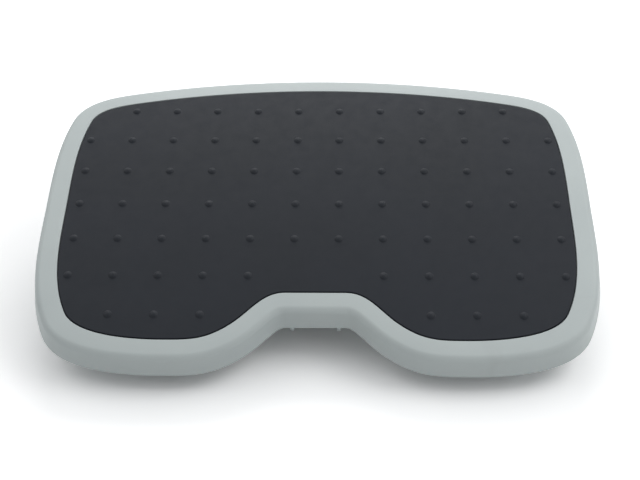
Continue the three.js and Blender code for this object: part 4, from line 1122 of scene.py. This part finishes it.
def dark_plastic():
    """Charcoal moulded plastic: coarse texture, paler where handling has polished it."""
    s = Shader("dark_plastic")
    colour = s.mix(s.ramp(s.noise(12, 3, 0.55), 0.3, 0.7), rgb(40, 42, 44), rgb(48, 50, 52))
    specks = s.ramp(s.noise(1100, 2, 0.6), 0.6, 0.75, 0.0, 0.5)
    colour = s.mix(specks, colour, rgb(62, 64, 66))
    worn = s.ramp(s.add("ShaderNodeNewGeometry").outputs["Pointiness"], 0.52, 0.64, 0.0, 0.4)
    colour = s.mix(worn, colour, rgb(84, 86, 88))
    rough = s.ramp(s.noise(200, 4, 0.6), 0.3, 0.7, 0.48, 0.62)
    normal = s.bump([(s.noise(1700, 3, 0.65), 0.4, 0.0001), (s.noise(60, 2, 0.5), 0.08, 0.0004)])
    return s.finish(colour, rough, normal, Specular_IOR_Level=0.45)


def foot_rubber():
    """Black rubber with a fine grain and dust."""
    s = Shader("foot_rubber")
    colour = s.mix(s.ramp(s.noise(60, 4, 0.6), 0.35, 0.65), rgb(27, 28, 29), rgb(36, 37, 38))
    dust = s.ramp(s.noise(500, 5, 0.7), 0.55, 0.72, 0.0, 0.35)
    colour = s.mix(dust, colour, rgb(92, 90, 86))
    rough = s.ramp(s.noise(300, 4, 0.6), 0.3, 0.7, 0.72, 0.9)
    return s.finish(colour, rough, s.bump([(s.noise(1300, 4, 0.7), 0.4, 0.0001)]), Specular_IOR_Level=0.3)


def steel():
    """Zinc plated steel: turning lines, cloudy plating, a breath of yellow."""
    s = Shader("steel")
    colour = s.mix(s.ramp(s.noise(180, 5, 0.6), 0.35, 0.65), rgb(186, 188, 190), rgb(204, 205, 203))
    colour = s.mix(s.ramp(s.noise(50, 3, 0.6), 0.55, 0.75, 0.0, 0.4), colour, rgb(190, 184, 168))
    lines = s.noise(60, 3, 0.6, (60.0, 1.0, 1.0))
    rough = s.ramp(lines, 0.3, 0.7, 0.22, 0.38)
    return s.finish(colour, rough, s.bump([(lines, 0.15, 0.00003)]), Metallic=1.0)


def nylon():
    """Natural nylon, slightly clouded."""
    s = Shader("nylon")
    colour = s.mix(s.ramp(s.noise(120, 4, 0.6), 0.3, 0.7), rgb(226, 223, 211), rgb(236, 234, 226))
    rough = s.ramp(s.noise(260, 3, 0.6), 0.3, 0.7, 0.36, 0.5)
    return s.finish(colour, rough, s.bump([(s.noise(900, 3, 0.6), 0.15, 0.00006)]),
                    Subsurface_Weight=0.12, Subsurface_Radius=(0.002, 0.0016, 0.001))


FINISHES = {
    "shell_grey": moulded_grey(),
    "mat_rubber": mat_rubber(),
    "dark_plastic": dark_plastic(),
    "foot_rubber": foot_rubber(),
    "steel": steel(),
    "nylon": nylon(),
}


# ---------------------------------------------------------------- placing the pieces
def settle(piece, node, body, slot, place, crease=32):
    piece.name = piece.data.name = "fine_" + node
    piece.data.transform(place)
    piece.data.shade_smooth()
    piece.data.set_sharp_from_angle(angle=math.radians(crease))
    piece.data.materials.clear()
    piece.data.materials.append(FINISHES[slot])
    even = piece.modifiers.new("even_shading", "WEIGHTED_NORMAL")
    even.keep_sharp = True
    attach(piece, body)
    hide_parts(node)


CORNERS = ("rear_right", "rear_left", "front_right", "front_left")
SIDES = (("left", -1), ("right", 1))

settle(platform_shell(), "platform_shell", "platform", "shell_grey", DECK)
settle(foot_mat(), "foot_mat", "platform", "mat_rubber", DECK, 60)
settle(axle_rod(), "axle_rod", "platform", "steel", DECK)
for name, side in SIDES:
    settle(retaining_ring(side), "retaining_ring_" + name, "platform", "steel", DECK)
    settle(friction_washer(side), "friction_washer_" + name, "platform", "foot_rubber", DECK)
    settle(axle_bush(side), "axle_bush_" + name, "base", "nylon", AT_AXLE)
PIN_HALF = WEB_OUTER + PIN_TAIL
for node, centre, radius in (
    ("tilt_stop_pin", STOP_PIN, STOP_PIN_RADIUS),
    ("brake_arm_pin", BRAKE_PIN, BRAKE_PIN_RADIUS),
    ("pedal_pin", PEDAL_PIN, PEDAL_PIN_RADIUS),
):
    settle(pin(centre, radius, PIN_HALF), node, "platform", "steel", DECK)
settle(pedal_spring(), "pedal_spring", "platform", "steel", DECK, 80)
settle(brake_arm(), "brake_arm", "brake", "dark_plastic", DECK)
settle(brake_shoe(), "brake_shoe", "brake", "foot_rubber", DECK)
settle(release_pedal(), "release_pedal", "pedal", "dark_plastic", DECK)
settle(pedal_tread(), "pedal_tread", "pedal", "foot_rubber", DECK)
settle(base_frame(), "base_frame", "base", "dark_plastic", ON_FLOOR)
settle(tilt_sector(), "tilt_sector", "base", "dark_plastic", AT_AXLE)
for corner, pad, screw in zip(CORNERS, PADS, SCREWS):
    settle(rubber_foot(pad), "rubber_foot_" + corner, "base", "foot_rubber", ON_FLOOR)
    settle(sector_screw(screw), "sector_screw_" + corner, "base", "steel", ON_FLOOR)


# ---------------------------------------------------------------- floor, light and camera
def seen_rays(shader):
    """One for rays that show the background: the camera's, mirrored ones and those through glass."""
    path = shader.add("ShaderNodeLightPath").outputs
    mirrored = shader.math("MAXIMUM", path["Is Camera Ray"], path["Is Glossy Ray"])
    return shader.math("MAXIMUM", mirrored, path["Is Transmission Ray"])


WHITE = (1, 1, 1, 1)
FLOOR_REACH = 6.0
FLOOR_TONE = 0.88
SEEN_TONE = 1.37
# the floor's shading gives way to the white backdrop between these distances, in metres
FLOOR_FADE = (0.8, 1.5)


def pale_floor():
    mesh = bpy.data.meshes.new("floor")
    span = (-FLOOR_REACH, FLOOR_REACH)
    mesh.from_pydata([(x, y, 0) for x, y in corners(span, span)], [], [(0, 1, 2, 3)])
    floor = bpy.data.objects.new("floor", mesh)
    bpy.context.scene.collection.objects.link(floor)
    s = Shader("pale_floor")
    plain, seen = (
        s.feed(s.add("ShaderNodeBsdfDiffuse"), Color=(tone, tone, tone, 1))
        for tone in (FLOOR_TONE, SEEN_TONE)
    )
    white = s.feed(s.add("ShaderNodeEmission"), Color=WHITE)
    place = s.add("ShaderNodeNewGeometry").outputs["Position"]
    away = s.feed(s.add("ShaderNodeVectorMath", operation="LENGTH"), _0=place).outputs["Value"]
    backdrop = s.blend(s.ramp(away, *FLOOR_FADE), seen, white)
    mesh.materials.append(s.output(s.blend(seen_rays(s), plain, backdrop)))


def plain_world():
    s = Shader("plain_world", world=True)
    bpy.context.scene.world = s.owner
    fill = s.feed(s.add("ShaderNodeBackground"), Color=(0.97, 0.985, 1.0, 1), Strength=0.41)
    white = s.feed(s.add("ShaderNodeBackground"), Color=WHITE)
    s.output(s.blend(seen_rays(s), fill, white), "World")


LAMP_AIM = Vector((0, 0, 0.05))
# name, place, size and power of each lamp, in metres and watts
LAMPS = (
    ("rear_box", (0, 1.8, 1.5), (1.6, 0.9), 18),
    ("right_box", (1.4, 0, 1.6), (1.0, 1.2), 10.2),
    ("left_box", (-1.4, 0, 1.6), (1.0, 1.2), 3.6),
    ("rear_left_box", (-1.3, 1.0, 1.6), (1.0, 1.0), 3.7),
    ("rear_right_box", (1.3, 1.0, 1.6), (1.0, 1.0), 4),
    ("front_right_box", (1.3, -0.9, 1.6), (1.0, 1.0), 2.6),
)


def soft_box(name, place, size, power):
    """A rectangular lamp turned to the middle of the object."""
    light = bpy.data.lights.new(name, "AREA")
    light.shape = "RECTANGLE"
    light.size, light.size_y = size
    light.energy = power
    lamp = bpy.data.objects.new(name, light)
    lamp.location = place
    lamp.rotation_euler = (LAMP_AIM - Vector(place)).to_track_quat("-Z", "Y").to_euler()
    bpy.context.scene.collection.objects.link(lamp)


def photo_camera():
    """The camera fitted to the square grid of domes."""
    elevation = math.radians(37.78)
    yaw, roll = 0.0206, 0.0031
    focal_px, width_px = 1197.4, 640
    pitch = DOME_PITCH * MM
    shift_right, shift_down, distance = -0.0647 * pitch, -0.8271 * pitch, 27.591 * pitch
    crest = DECK @ Vector((0, -2 * MM, 0))
    ahead = Vector((0, math.cos(elevation), -math.sin(elevation)))
    down = Vector((0, -math.sin(elevation), -math.cos(elevation)))
    side = Vector((1, 0, 0))
    level = side * math.cos(yaw) + ahead * math.sin(yaw)
    right = level * math.cos(roll) - down * math.sin(roll)
    lower = level * math.sin(roll) + down * math.cos(roll)
    forward = ahead * math.cos(yaw) - side * math.sin(yaw)
    place = crest - right * shift_right - lower * shift_down - forward * distance
    camera = bpy.data.cameras.new("photo_camera")
    camera.sensor_width = 36
    camera.sensor_fit = "HORIZONTAL"
    camera.lens = 36 * focal_px / width_px
    camera.clip_end = 30
    viewer = bpy.data.objects.new("photo_camera", camera)
    bpy.context.scene.collection.objects.link(viewer)
    axes = Matrix((right, -lower, -forward)).transposed().to_4x4()
    viewer.matrix_world = Matrix.Translation(place) @ axes
    bpy.context.scene.camera = viewer


pale_floor()
plain_world()
for lamp in LAMPS:
    soft_box(*lamp)
photo_camera()
bpy.context.scene.view_settings.view_transform = "Standard"
